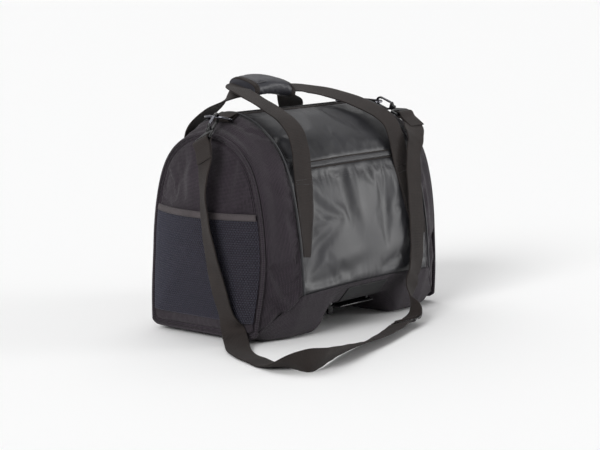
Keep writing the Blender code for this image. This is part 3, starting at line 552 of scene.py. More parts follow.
def end_panel_point(side):
    def place(across, up):
        u, v = 2 * across - 1, 2 * up - 1
        if side < 0:
            u = -u
        y, z = u * math.sqrt(1 - v * v / 2), v * math.sqrt(1 - u * u / 2)
        share, angle = 1 - (1 - min(math.hypot(y, z), 1.0)) ** 1.3, math.atan2(z, y)
        reach = rim_at(angle)
        y, z = share * reach * math.cos(angle), end_middle.y + share * reach * math.sin(angle)
        edge = (1 - share) * reach
        dip = groove_depth * math.exp(-(((edge - groove_place) / groove_half) ** 2))
        dip += fold_depth(end_folds, y, z - ground) * ease((edge - 0.010) / 0.012)
        dip += pucker_depth * math.exp(-edge / pucker_reach) * math.sin(angle * 78 + 2 * math.sin(angle * 9))
        return end_point(side, y, z, end_crown * (1 - share * share) - dip)

    return place


def end_held(point):
    share = outline_share(point.y, point.z)
    return max(ease((share - 0.90) / 0.08), 0.55 * ease(1 - (point.z - ground - 0.19) / 0.02))


for prefix, side in (("near", -1), ("far", 1)):
    work = sheet_of_quads(96, 120, end_panel_point(side), (end_depth, end_height))
    lay_uv(work, lambda point, _: point.yz)
    piece = finish_piece(prefix + "_end_panel_cloth", work, polyester)
    relax(piece, 0.02, 0.003, end_held)
    thicken(piece, padded_wall)
    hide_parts(prefix + "_end_panel")

# Base. Padded polyester folds under the bag from one side to the other, with a hollow across the middle for the
# rack. A tarpaulin patch guards the back of the hollow.
under_gap = seam_gap / 2 / base_length


def base_point(along, round_under):
    x = (half_end - seam_gap / 2) * (2 * along - 1)
    turn = 1 + under_gap + (1 - 2 * under_gap) * round_under
    edges = [(half_end - abs(x), turn * base_length)]
    edges += [((turn - 1) * base_length, x), ((2 - turn) * base_length, x)]
    return tucked(x, turn, edges, 0.0012)


work = sheet_of_quads(128, 96, base_point, (end_length, base_length))
piece = finish_piece("base_panel_cloth", work, polyester)
thicken(piece, padded_wall)
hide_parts("base_panel")

patch_width, patch_length, patch_wall, seat_gap = 0.104, 0.1, 0.001, 0.0003


def mottled(name, constants, shades, cloud, grain=None, relief=(0.4, 0.0003), roughness=None):
    """A finish whose colour drifts between two shades in clouds. A finer grain may stand out from it, and its
    roughness may drift too. cloud and grain are a noise's scale and detail, and relief is a strength and height."""
    material, tree, shader = new_material(name, constants)
    place = add_node(tree, "TexCoord", {}, {}).outputs["Object"]
    drift = add_node(tree, "TexNoise", {}, {"Vector": place, "Scale": cloud[0], "Detail": cloud[1]})
    if shades:
        mix = {"Fac": drift, "Color1": colour(shades[0]), "Color2": colour(shades[1])}
        feed(tree, shader, {"Base Color": add_node(tree, "MixRGB", {}, mix)})
    if grain:
        fine = add_node(tree, "TexNoise", {}, {"Vector": place, "Scale": grain[0], "Detail": grain[1]})
        lumps = {"Height": fine, "Strength": relief[0], "Distance": relief[1]}
        feed(tree, shader, {"Normal": add_node(tree, "Bump", {}, lumps)})
    if roughness:
        gloss = {"Value": drift, "To Min": roughness[0], "To Max": roughness[1]}
        feed(tree, shader, {"Roughness": add_node(tree, "MapRange", {}, gloss)})
    return material


# Patch cloth: polyester, pressed smooth. Its near-black colour is painted shade, standing for the shade in the rack's
# hollow, and it greys a little in clouds where it rubs.
hollow_shaded_cloth = mottled(
    "patch_cloth_in_painted_shade",
    {"Base Color": colour("#161617"), "Roughness": 0.6},
    ("#0c0c0d", "#1f1f21"),
    cloud=(60.0, 5.0),
    grain=(1200.0, 2.0),
    relief=(0.3, 0.0003),
)


def patch_point(along, round_under):
    return skin(patch_width * (along - 0.5), 2 - (4 - 3.4 * round_under) / 14, patch_wall + seat_gap)[0]


work = sheet_of_quads(40, 40, patch_point, (patch_width, patch_length))
piece = finish_piece("base_patch_cloth", work, hollow_shaded_cloth)
thicken(piece, patch_wall)
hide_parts("base_patch")

# Piping. A filled cord covered in polyester edges each end panel, and a thinner one in tarpaulin covers the seam
# between the tarpaulin and the gusset. Both are turned out by the seam.
end_piping_radius, main_piping_radius = 0.0027, 0.0015


def closed_sheet(columns, rows, place, size, caps=True):
    """A sheet whose two long edges meet. Its ends are closed too, unless caps is false."""
    work = sheet_of_quads(columns, rows, place, size)
    bmesh.ops.remove_doubles(work, verts=work.verts, dist=1e-6)
    if caps:
        bmesh.ops.holes_fill(work, edges=[edge for edge in work.edges if edge.is_boundary])
    bmesh.ops.recalc_face_normals(work, faces=work.faces)
    return work


def tube_along(name, points, radius, closed, material, sides=14):
    """A round cord or wire through points, whose section doesn't twist."""
    count = len(points)
    frames, side = [], None
    for k, point in enumerate(points):
        before = points[k - 1] if k or closed else point
        after = points[(k + 1) % count] if k + 1 < count or closed else point
        along = (after - before).normalized()
        side = side - along * side.dot(along) if side else along.orthogonal()
        side = side.normalized()
        frames.append((point, side, along.cross(side)))
    if closed:
        frames.append(frames[0])

    def place(around, along):
        point, side, up = frames[round(along * (len(frames) - 1))]
        angle = 2 * math.pi * around
        return point + (side * math.cos(angle) + up * math.sin(angle)) * radius

    length = sum((b - a).length for a, b in zip(points, points[1:]))
    work = closed_sheet(sides, len(frames) - 1, place, (2 * math.pi * radius, length))
    return finish_piece(name, work, material)


for prefix, side in (("near", -1), ("far", 1)):
    points = []
    for k, place in enumerate(outline):
        along = (outline[(k + 1) % len(outline)] - outline[k - 1]).normalized()
        out = Vector((-along.y, along.x))
        if out.dot(place - end_middle) < 0:
            out = -out
        out = Vector((side, *out)).normalized()
        points.append(end_point(side, place.x, place.y, 0.0) + out * end_piping_radius * 0.45)
    piece = tube_along(prefix + "_end_piping_cord", points, end_piping_radius, True, polyester)
    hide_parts(prefix + "_end_piping")
    points = []
    for turn in spread(over_gap, 1 - over_gap, 150):
        clear = min(max(turn, 0.01), 0.99)
        out = skin(side * 0.97 * half_main, clear)[1] + skin(side * 1.05 * half_main, clear)[1]
        points.append(body(side * half_main, turn) + out.normalized() * (main_piping_radius + seat_gap))
    piece = tube_along(prefix + "_seam_piping_cord", points, main_piping_radius, False, tarpaulin)
    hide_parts(prefix + "_seam_piping")

# Main zip. Two tapes of ribbed polyester hold a nylon coil along the middle of the top, and one slider with a
# webbing puller runs on it.
rib_pitch = 0.0021


def ribbed(name, dark, light, pitch):
    """Webbing and tape: thick warp ribs run along it, crossed by fine weft, matt with a brownish cast. The grooves
    between the ribs are painted darker as shade, mixed with a drift in tone.
    """
    material, tree, shader = new_material(
        name, {"Base Color": colour(light), "Roughness": 0.78, "Specular IOR Level": 0.2, "Sheen Weight": 0.04}
    )
    place = add_node(tree, "TexCoord", {}, {})
    parts = add_node(tree, "SeparateXYZ", {}, {"Vector": place.outputs["UV"]})
    rib = thread_wave(tree, parts.outputs["X"], pitch)
    crown = add_node(tree, "Math", {"operation": "ABSOLUTE"}, {0: rib})
    slant = add_node(tree, "Math", {"operation": "MULTIPLY"}, {0: rib, 1: 0.9})
    lines = {0: parts.outputs["Y"], 1: 2 * math.pi / (1.2 * pitch), 2: slant}
    phase = add_node(tree, "Math", {"operation": "MULTIPLY_ADD"}, lines)
    pick = add_node(tree, "Math", {"operation": "SINE"}, {0: phase})
    half = add_node(tree, "Math", {"operation": "MULTIPLY_ADD"}, {0: pick, 1: 0.25, 2: 0.5})
    height = add_node(tree, "Math", {"operation": "MULTIPLY"}, {0: crown, 1: half})
    cloud = add_node(tree, "TexNoise", {}, {"Vector": place.outputs["Object"], "Scale": 30.0, "Detail": 4.0})
    mottle = add_node(tree, "Math", {"operation": "ADD"}, {0: cloud, 1: height})
    # The dark shade goes to the grooves between the ribs: painted shade, mixed with a drift in tone.
    yarn_tone_and_gap_shade = add_node(tree, "MixRGB", {}, {"Fac": mottle, "Color1": colour(dark), "Color2": colour(light)})
    threads = add_node(tree, "Bump", {}, {"Height": height, "Strength": 0.7, "Distance": 0.0006})
    feed(tree, shader, {"Base Color": yarn_tone_and_gap_shade, "Normal": threads})
    return material


# Webbing and tape: polyester yarn woven thick on a narrow loom, with the grooves between its ribs painted near black as
# shade. The ribs are drawn at their real 2.1 mm.
webbing = ribbed("polyester_webbing", "#030202", "#312b29", rib_pitch)

tape_turns = (0.5 - zip_share + over_gap, 0.5 + zip_share - over_gap)


def tape_point(across, along):
    x = panel_reach * (2 * along - 1)
    turn = tape_turns[1] + (tape_turns[0] - tape_turns[1]) * across
    edge = min(turn - tape_turns[0], tape_turns[1] - turn) * arch_length
    return tucked(x, turn, [(edge, x)], 0.0010)


tape_wall = 0.0012
work = sheet_of_quads(16, 120, tape_point, (zip_tape_width, main_length))
piece = finish_piece("main_zip_tape_cloth", work, webbing)
thicken(piece, tape_wall)
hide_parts("main_zip_tape")


def beads(name, places, material):
    """Many small rounded bars, such as stitches or zip teeth, each from its own matrix."""
    work = bmesh.new()
    for place in places:
        bmesh.ops.create_icosphere(work, subdivisions=1, radius=0.5, matrix=place)
    return finish_piece(name, work, material)


def bar_matrix(point, along, out, size):
    """The matrix of a small bar of length, width and height, with its length along and its top out."""
    across = out.cross(along).normalized()
    top = along.cross(across).normalized()
    turn = Matrix((along.normalized(), across, top)).transposed().to_4x4()
    return Matrix.Translation(point) @ turn @ Matrix.Diagonal((*size, 1.0))


# Black nylon and acetal mouldings and the zip's coil: injection moulded, glossy with a faint orange peel.
nylon = mottled(
    "moulded_nylon",
    {"Base Color": colour("#0e0e10"), "Roughness": 0.26, "IOR": 1.53},
    None,
    cloud=(60.0, 3.0),
    grain=(260.0, 2.0),
    relief=(0.12, 0.0004),
    roughness=(0.2, 0.38),
)

coil_end, slider_place, slider_length, zip_coil_width = 0.94, 0.66, 0.012, 0.007
coil_stop = slider_place * half_main - slider_length / 2 - zip_coil_width / 2
tooth_pitch, tooth_offset, tooth_size = 0.0018, 0.0014, (0.0042, 0.0011, 0.0016)
teeth = []
for k in range(int((coil_stop + coil_end * half_main) / tooth_pitch)):
    x = -coil_end * half_main + k * tooth_pitch
    for side in (-1, 1):
        turn = 0.5 + side * tooth_offset / arch_length
        seat, out = skin(x + side * tooth_pitch / 4, turn, 0.0008)
        teeth.append(bar_matrix(seat, Vector((0.12 * side, 1, 0)), out, tooth_size))
piece = beads("main_zip_teeth", teeth, nylon)
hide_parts("main_zip_coil")

# Steel wire and die-cast fittings: plated black over a bright base, which shines at the edges.
steel = mottled(
    "black_plated_steel",
    {"Base Color": colour("#3c3c40"), "Metallic": 1.0, "Roughness": 0.24},
    ("#303034", "#85858c"),
    cloud=(90.0, 4.0),
    roughness=(0.16, 0.34),
)


def softened(node, material, radius, body_name="bag", flat=None, kind="moulding"):
    """A rigid part in the model's own shape, with its edges rounded as a mould or a tumbler leaves them."""
    work = bmesh.new()
    work.from_mesh(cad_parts[node].data)
    bmesh.ops.remove_doubles(work, verts=work.verts, dist=1e-6)
    bmesh.ops.dissolve_limit(work, angle_limit=math.radians(2), verts=work.verts, edges=work.edges)
    sharp = [edge for edge in work.edges if len(edge.link_faces) == 2 and edge.calc_face_angle() > math.radians(28)]
    bmesh.ops.bevel(
        work, geom=sharp, offset=radius, affect="EDGES", segments=3, profile=0.5, material=-1, clamp_overlap=True
    )
    for layer in list(work.loops.layers.uv.values()):
        work.loops.layers.uv.remove(layer)
    if flat:
        lay_uv(work, lambda point, _: [point[axis] for axis in flat])
    piece = finish_piece(f"{node}_{kind}", work, material, body_name)
    piece.data.set_sharp_from_angle(angle=math.radians(50))
    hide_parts(node)
    return piece


softened("main_zip_slider", steel, 0.0009, kind="casting")
softened("main_zip_pull", webbing, 0.0005, flat=(1, 0), kind="webbing")

# Front pocket zip. A folded strip of the tarpaulin covers it between the legs of the front handle. The strip and the
# ribbed zip tape under it are sewn to the panel along their edges. The dark tape is drawn wider than the strip, so that
# it shows beside it as a painted shade line.
pocket_zip_turn = turn_at_height(0.0, pocket_zip_height)
cover_half = handle_spread / 2 - handle_width / 2 - 2 * seat_gap
cover_width, cover_wall = 0.010, 0.0008
cover_tape_width, cover_tape_wall = 0.0150, 0.0006


def cover_point(across, along):
    x = handle_shift + cover_half * (1 - 2 * along)
    turn = pocket_zip_turn + (across - 0.5) * cover_width / arch_length
    edge = min(across, 1 - across) * cover_width
    lift = 0.0004 + 0.0016 * ease(edge / 0.0022) + 0.0003 * math.sin(x * 170)
    return skin(x, turn, lift)[0]


def shade_line_tape_point(across, along):
    x = handle_shift + cover_half * (1 - 2 * along)
    turn = pocket_zip_turn + (across - 0.5) * cover_tape_width / arch_length
    return skin(x, turn, 0.0003)[0]


# The tape stands out past both edges of the cover as a dark strip: a real zip tape that also serves as painted shade
# along the cover's edges.
work = sheet_of_quads(8, 60, shade_line_tape_point, (cover_tape_width, 2 * cover_half))
piece = finish_piece("pocket_zip_tape_shade_line", work, webbing)
thicken(piece, cover_tape_wall)
work = sheet_of_quads(14, 110, cover_point, (cover_width, 2 * cover_half))
piece = finish_piece("pocket_zip_cover_strip", work, tarpaulin)
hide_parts("pocket_zip_cover")
thicken(piece, cover_wall)

# Mesh pocket. Knitted netting is sewn round the near end panel's lower half, slack enough to take a bottle, and
# its mouth is bound with a band of elastic tape.
pocket_mouth_height, pocket_hem_height, pocket_bulge, pocket_share = 0.204, 0.011, 0.008, 0.955
pocket_floor = end_edge_height + 0.10 * (pocket_mouth_height - end_edge_height)
net_pitch, net_yarn = 0.0042, 0.0012

# Netting: dyed polyester yarn knitted open and heat set, matt with a bluish cast. The real openings are finer, and
# these are drawn 4.2 mm apart so that they show.
netting = mottled(
    "knitted_polyester_netting",
    {"Base Color": colour("#30303c"), "Roughness": 0.6, "Sheen Weight": 0.15, "Sheen Roughness": 0.4},
    ("#20202b", "#444456"),
    cloud=(700.0, 2.0),
    grain=(700.0, 2.0),
)


def pocket_reach(z):
    low, high = 0.0, end_depth / 2
    for _ in range(22):
        middle = (low + high) / 2
        if outline_share(middle, z) < pocket_share:
            low = middle
        else:
            high = middle
    return low


def pocket_point(column, height, lift):
    """A point of the pocket at a share across, from -1 to 1, and a height."""
    z = ground + height
    rise = (height - pocket_floor) / (pocket_mouth_height - pocket_floor)
    bulge = pocket_bulge * (1 - column * column) ** 0.8 * ease(0.15 + 1.3 * rise) ** 0.6
    return near_face(column * pocket_reach(z), z, sewn_gap + bulge + lift)


net_height = pocket_mouth_height - pocket_hem_height + 0.002 - pocket_floor


def net_point(across, up):
    row = round(up * net_rows)
    shift = 0.5 / net_columns if row % 2 else 0.0
    across = min(max(across + shift - 0.25 / net_columns, 0.0), 1.0)
    return pocket_point(1 - 2 * across, pocket_floor + up * net_height, 0.0005)


net_width = 2 * pocket_reach(ground + 0.12)
net_columns = round(net_width / net_pitch)
net_rows = round(net_height / (net_pitch * 0.86))
work = sheet_of_quads(net_columns, net_rows, net_point, (net_width, net_height))
bmesh.ops.triangulate(work, faces=work.faces, quad_method="SHORT_EDGE")
bmesh.ops.wireframe(
    work, faces=work.faces, thickness=net_yarn, use_replace=True, use_boundary=True, use_even_offset=False
)
piece = finish_piece("mesh_pocket_netting", work, netting)
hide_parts("mesh_pocket")


# Elastic tape: rubber cords knitted into polyester, with fine ribs along it, paler than the webbing. The grooves
# between the ribs are painted darker as shade.
elastic = ribbed("knitted_elastic_tape", "#181516", "#544e50", 0.0016)


def hem_point(across, up):
    height = pocket_mouth_height - pocket_hem_height + pocket_hem_height * up
    lift = 0.0006 + 0.0014 * ease(min(up, 1 - up) / 0.18)
    return pocket_point(1 - 2 * across, height, lift)


hem_length = 0.2
work = sheet_of_quads(90, 10, hem_point, (hem_length, pocket_hem_height))
lay_uv(work, lambda _, uv: uv.yx)
piece = finish_piece("pocket_hem_tape", work, elastic)
thicken(piece, tape_wall)
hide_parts("pocket_hem")

# Handles. Each is one length of webbing, sewn to a side up to the pocket's zip and free above, where both come
# together in the grip.
front_handle_rows = (
    # place in millimetres, direction of the width, and a width where it isn't the webbing's own
    (-152.9, -143.9, 102.2, 0.99, 0.12, 0.01, 20.0),
    (-143.1, -132.5, 174.3, 1.0, 0.05, 0.0, 39.5),
    (-136.0, -121.7, 222.5, 1.0, -0.02, 0.0),
    (-136.4, -115.1, 272.5, 1.0, 0.01, 0.01),
    (-136.7, -107.6, 293.6, 1.0, 0.02, 0.02),
    (-137.5, -93.5, 308.8, 1.0, 0.03, 0.03),
    (-138.8, -55.8, 330.0, 1.0, 0.0, 0.0),
    (-137.9, -12.2, 347.3, 1.0, -0.09, -0.03),
    (-134.7, 6.4, 353.0, 0.95, -0.31, -0.07),
    (-127.1, 19.6, 355.5, 0.79, -0.6, -0.12),
    (-117.0, 29.0, 355.8, 0.63, -0.76, -0.15),
    (-108.2, 35.3, 355.9, 0.28, -0.94, -0.2),
    (-63.8, 35.7, 360.4, 0.0, -0.98, -0.21),
    (-19.4, 35.7, 355.9, -0.05, -0.98, -0.21),
    (10.2, 35.3, 348.5, -0.11, -0.97, -0.21),
    (21.4, 33.8, 347.8, -0.18, -0.96, -0.22),
    (35.3, 31.0, 347.1, -0.34, -0.91, -0.24),
    (48.9, 24.2, 345.3, -0.6, -0.76, -0.25),
    (61.4, 11.8, 342.6, -0.76, -0.6, -0.25),
    (84.6, -23.2, 333.1, -0.89, -0.37, -0.25),
    (104.1, -71.3, 314.0, -0.94, -0.23, -0.24),
    (111.1, -91.3, 303.2, -0.95, -0.18, -0.23),
    (115.1, -102.1, 293.1, -0.98, -0.12, -0.18),
    (118.3, -112.0, 270.7, -0.99, -0.05, -0.09),
    (122.0, -122.5, 222.5, -1.0, -0.03, 0.0),
    (130.3, -134.0, 174.3, -1.0, -0.01, 0.0),
    (144.0, -144.3, 114.2, -1.0, -0.02, 0.0, 37.8),
    (146.0, -145.8, 102.2, -1.0, -0.03, 0.0, 33.9),
)
back_handle_rows = (
    # place in millimetres, direction of the width, and a width where it isn't the webbing's own
    (-153.0, 145.5, 101.7, 1.0, 0.03, -0.04, 19.9),
    (-143.1, 133.0, 174.4, 1.0, -0.03, 0.0, 39.5),
    (-136.0, 121.7, 222.5, 1.0, 0.02, 0.0),
    (-131.6, 119.2, 260.4, 1.0, 0.04, -0.09),
    (-130.6, 115.9, 276.4, 1.0, -0.01, 0.01),
    (-132.0, 109.9, 287.2, 0.99, -0.1, 0.14),
    (-135.7, 92.2, 303.2, 1.0, 0.01, 0.0),
    (-131.6, 65.6, 324.0, 0.97, 0.23, -0.03),
    (-127.5, 53.8, 333.1, 0.88, 0.47, 0.03),
    (-114.7, 40.3, 345.5, 0.47, 0.87, 0.17),
    (-108.2, 36.7, 349.7, 0.1, 0.97, 0.21),
    (-93.4, 36.3, 354.4, -0.04, 0.98, 0.21),
    (-49.0, 36.3, 357.0, 0.01, 0.98, 0.21),
    (-4.6, 36.3, 348.9, 0.06, 0.98, 0.21),
    (10.2, 36.7, 342.3, 0.03, 0.98, 0.21),
    (21.4, 39.8, 334.8, -0.29, 0.94, 0.16),
    (37.6, 49.4, 324.3, -0.58, 0.81, -0.02),
    (71.6, 75.2, 306.4, -0.66, 0.66, -0.37),
    (95.8, 95.2, 295.5, -0.75, 0.46, -0.48),
    (109.5, 110.4, 281.0, -0.9, 0.24, -0.35),
    (114.2, 115.9, 270.7, -0.95, 0.15, -0.26),
    (117.6, 119.1, 256.3, -0.98, 0.08, -0.16),
    (122.0, 122.3, 222.4, -1.0, 0.03, 0.0),
    (130.3, 133.2, 174.1, -1.0, -0.01, 0.0, 41.9),
    (144.0, 143.8, 114.3, -1.0, 0.0, 0.01, 37.7),
    (146.0, 145.4, 102.3, -1.0, 0.01, 0.01, 33.9),
)
webbing_wall, webbing_ripple, webbing_step = 0.002, 0.0003, 0.0032


def route(rows, width, step):
    """Rows at even steps on a smooth curve through a table of places and widths in millimetres."""
    rows = [[*row, width][:7] for row in rows]
    rows = [[*(value / 1000 for value in row[:3]), *row[3:6], row[6] / 1000] for row in rows]
    gaps = [(Vector(b[:3]) - Vector(a[:3])).length for a, b in zip(rows, rows[1:])]
    slopes = [[(y - x) / gap for x, y in zip(a, b)] for a, b, gap in zip(rows, rows[1:], gaps)]
    bends = [slopes[0]]
    for k in range(1, len(rows) - 1):
        near, far = gaps[k - 1], gaps[k]
        bends.append([(far * a + near * b) / (near + far) for a, b in zip(slopes[k - 1], slopes[k])])
    bends.append(slopes[-1])
    places = []
    for k, gap in enumerate(gaps):
        count = max(1, round(gap / step))
        for j in range(count + (k == len(gaps) - 1)):
            t = j / count
            a, b = (1 + 2 * t) * (1 - t) ** 2, t * t * (3 - 2 * t)
            c, d = t * (1 - t) ** 2 * gap, t * t * (t - 1) * gap
            mixed = zip(rows[k], rows[k + 1], bends[k], bends[k + 1])
            places.append([a * p + b * q + c * r + d * s for p, q, r, s in mixed])
    return places


def webbing_piece(name, rows, width, step):
    """Webbing along a route: its selvedges are a little full, so they ripple."""
    places = route(rows, width, step)
    frames, length = [], 0.0
    for k, row in enumerate(places):
        last, following = places[max(k - 1, 0)], places[min(k + 1, len(places) - 1)]
        along = (Vector(following[:3]) - Vector(last[:3])).normalized()
        across = Vector(row[3:6])
        across = (across - along * across.dot(along)).normalized()
        frames.append((Vector(row[:3]), across, along.cross(across), row[6]))
        if k:
            length += (Vector(row[:3]) - Vector(last[:3])).length

    def place(share, at):
        point, across, out, width = frames[round(at * (len(frames) - 1))]
        edge = abs(2 * share - 1) ** 3
        wave = webbing_ripple * edge * math.sin(at * length * 130 + (2 if share > 0.5 else 0))
        return point + across * width * (share - 0.5) + out * wave

    work = sheet_of_quads(12, len(frames) - 1, place, (places[len(places) // 2][6], length))
    piece = finish_piece(name, work, webbing)
    thicken(piece, webbing_wall, 0.0)
    edge = piece.modifiers.new("selvedge", "BEVEL")
    edge.width = webbing_wall * 0.35
    edge.segments = 2
    edge.limit_method = "ANGLE"
    return piece, frames


piece, front_frames = webbing_piece("front_handle_webbing", front_handle_rows, handle_width * 1000, webbing_step)
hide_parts("front_handle")
piece, back_frames = webbing_piece("back_handle_webbing", back_handle_rows, handle_width * 1000, webbing_step)
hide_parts("back_handle")

# Stitching. Bonded polyester thread, lockstitched in rows: it dips at each needle hole, so that every stitch
# stands proud as a small rounded bar.
thread = mottled(
    "bonded_polyester_thread",
    {"Base Color": colour("#343235"), "Roughness": 0.5, "Sheen Weight": 0.2},
    ("#1e1c1f", "#3a373c"),
    cloud=(1500.0, 1.0),
)


def stitch_row(points, outs, pitch=0.0036, thick=0.0008):
    """Matrices of a row of stitches along points that stand on a surface."""
    places, travelled, due = [], 0.0, pitch / 2
    for a, b, out in zip(points, points[1:], outs):
        gap = (b - a).length
        while gap and due <= travelled + gap:
            at = a.lerp(b, (due - travelled) / gap)
            places.append(bar_matrix(at, b - a, out, (pitch * 0.78, thick, thick * 0.9)))
            due += pitch
        travelled += gap
    return places


sewn_inset = 0.003


def leg_stitches(frames):
    """Two rows along each sewn leg, and two bar tacks where it comes free at the top."""
    first = frames[2]
    sign = 1 if first[2].y * first[0].y > 0 else -1

    def beside(row, edge):
        point, across, out, width = row
        return point + across * edge * (width / 2 - sewn_inset) + out * sign * (webbing_wall / 2 + 0.0002)

    places = []
    for leg in (frames, frames[::-1]):
        sewn = [row for row in leg if row[0].z - ground < sewn_top_height]
        sewn = sewn[: next((k for k, row in enumerate(sewn) if k and row[0].z < sewn[k - 1][0].z), len(sewn))]
        for edge in (-1, 1):
            places += stitch_row([beside(row, edge) for row in sewn], [row[2] * sign for row in sewn])
        for row in (sewn[-1], sewn[-4]):
            places += stitch_row([beside(row, edge) for edge in (-1, 1)], [row[2] * sign] * 2, 0.0022)
    return places


piece = beads("handle_stitching", leg_stitches(front_frames) + leg_stitches(back_frames), thread)

# Grip. A padded wrap holds both handles together: foam in coated polyester, bound with tape at its two ends and
# closed along its upper edge.
grip_length, grip_width, grip_thickness = 0.102, 0.060, 0.027
grip_height, grip_shift, grip_back = 0.383, -0.049, 0.036
grip_arch, grip_fall, grip_tilt = 0.007, 0.012, math.radians(12)
grip_band, grip_fold = 0.010, 0.0009

# Coated polyester: a thin polyurethane face, embossed with a fine pebble, which gives a soft broad shine.
coated = mottled(
    "coated_polyester_wrap",
    {"Base Color": colour("#3c3c42"), "Roughness": 0.50, "IOR": 1.5},
    ("#222228", "#38383f"),
    cloud=(34.0, 4.0),
    grain=(800.0, 2.0),
)


def grip_line(share):
    above = grip_arch * (1 - (2 * share - 0.2) ** 2) - grip_fall * (share + 0.1)
    return Vector((grip_shift + share * grip_length, grip_back, ground + grip_height + above))


grip_across = Vector((0, math.cos(grip_tilt), math.sin(grip_tilt)))
grip_over = Vector((0, -math.sin(grip_tilt), math.cos(grip_tilt)))


def grip_point(around, along, grow=0.0):
    """A point of the wrap: a flattened round section, a little squarer on top, pinched in at its bound ends."""
    share = along - 0.5
    angle = 2 * math.pi * around
    pinch = 1 - 0.05 * abs(2 * share) ** 6
    wide = math.copysign(abs(math.cos(angle)) ** 0.85, math.cos(angle)) * grip_width / 2 * pinch
    high = math.copysign(abs(math.sin(angle)) ** 0.80, math.sin(angle)) * grip_thickness / 2 * pinch
    to_end = (0.5 - abs(share)) * grip_length
    fold = grip_fold * math.sin(share * 44 + 2.2 * math.sin(angle * 2)) * max(0.0, -math.sin(angle - 0.5))
    inward = -0.0005 + grow + fold * ease((to_end - grip_band) / 0.006)
    out = (grip_across * math.cos(angle) + grip_over * math.sin(angle)).normalized()
    return grip_line(share) + grip_across * wide + grip_over * high + out * inward


def grip_held(point):
    to_end = grip_length / 2 - abs(point.x - grip_shift)
    return ease(1 - (to_end - grip_band) / 0.008)


grip_girth, binding_wall, grip_edge_radius = 0.15, 0.0009, 0.0012
work = closed_sheet(64, 52, grip_point, (grip_girth, grip_length))
grip = finish_piece("handle_grip_wrap", work, coated)
grip.data.set_sharp_from_angle(angle=math.radians(60))
relax(grip, 0.035, 0.0009, grip_held, 12)
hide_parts("handle_grip")

for name, low in (("near", 0.0), ("far", 1 - grip_band / grip_length)):

    def band_point(around, along, low=low):
        edge = 0.0009 * ease(min(along, 1 - along) / 0.2) + 0.0002
        return grip_point(around, low + along * grip_band / grip_length, edge)

    work = closed_sheet(64, 10, band_point, (grip_band, grip_girth), caps=False)
    piece = finish_piece(name + "_grip_binding", work, webbing)
    thicken(piece, binding_wall, 0.0)

seam = [grip_point(0.365, share + 0.5, 0.0004) for share in spread(-0.40, 0.40, 60)]
piece = tube_along("grip_edge_piping", seam, grip_edge_radius, False, coated, 10)

# Rings. A D ring bent from plated steel wire hangs in a tab at the top of each gusset, for the strap's hooks. The
# tab is a folded piece of webbing, sewn down in two rows.
ring_halves = {
    # places in millimetres, from one end of the bar to the middle of the bow
    "near": (
        (-191.4, 23.5, 312.7),
        (-199.1, 23.5, 314.8),
        (-202.6, 22.7, 315.8),
        (-205.9, 20.4, 316.7),
        (-208.7, 16.6, 317.5),
        (-210.8, 11.7, 318.0),
        (-212.2, 6.1, 318.4),
        (-212.6, 0.0, 318.5),
    ),
    "far": (
        (186.0, 23.5, 315.4),
        (194.0, 23.5, 315.8),
        (197.6, 22.7, 316.1),
        (201.0, 20.4, 316.3),
        (203.9, 16.6, 316.4),
        (206.1, 11.7, 316.6),
        (207.5, 6.1, 316.7),
        (208.0, 0.0, 316.7),
    ),
}
ring_wire, tab_width = 0.002, 0.034
for prefix, half in ring_halves.items():
    corners = [Vector(place) / 1000 for place in half]
    corners += [Vector((corner.x, -corner.y, corner.z)) for corner in corners[-2::-1]]
    bow = [Vector(smooth(corners, k / 5)) for k in range(5 * (len(corners) - 1))]
    bow += [corners[-1].lerp(corners[0], k / 12) for k in range(12)]
    piece = tube_along(prefix + "_ring_wire", bow, ring_wire, True, steel, 16)
    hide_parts(prefix + "_ring")
    softened(prefix + "_ring_tab", webbing, 0.0006, flat=(1, 0), kind="fold")
    low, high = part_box(prefix + "_ring_tab")
    rows = []
    for inset in (0.004, 0.011):
        x = high.x - inset if prefix == "near" else low.x + inset
        top = skin(x, 0.5)[0].z + 0.0052
        ends = [Vector((x, side * (tab_width / 2 - sewn_inset), top)) for side in (-1, 1)]
        rows += stitch_row(ends, [Vector((0, 0, 1))] * 2, 0.0026, 0.0009)
    piece = beads(prefix + "_tab_stitching", rows, thread)

# Snap hooks. Each is a moulded hook with a sprung steel gate, and turns on the post of a moulded eye that the
# strap goes round.
for prefix in ("near", "far"):
    softened(prefix + "_hook", nylon, 0.0014)
    softened(prefix + "_hook_gate", steel, 0.0006, prefix + "_gate", kind="pressing")
    softened(prefix + "_swivel_eye", nylon, 0.0010)

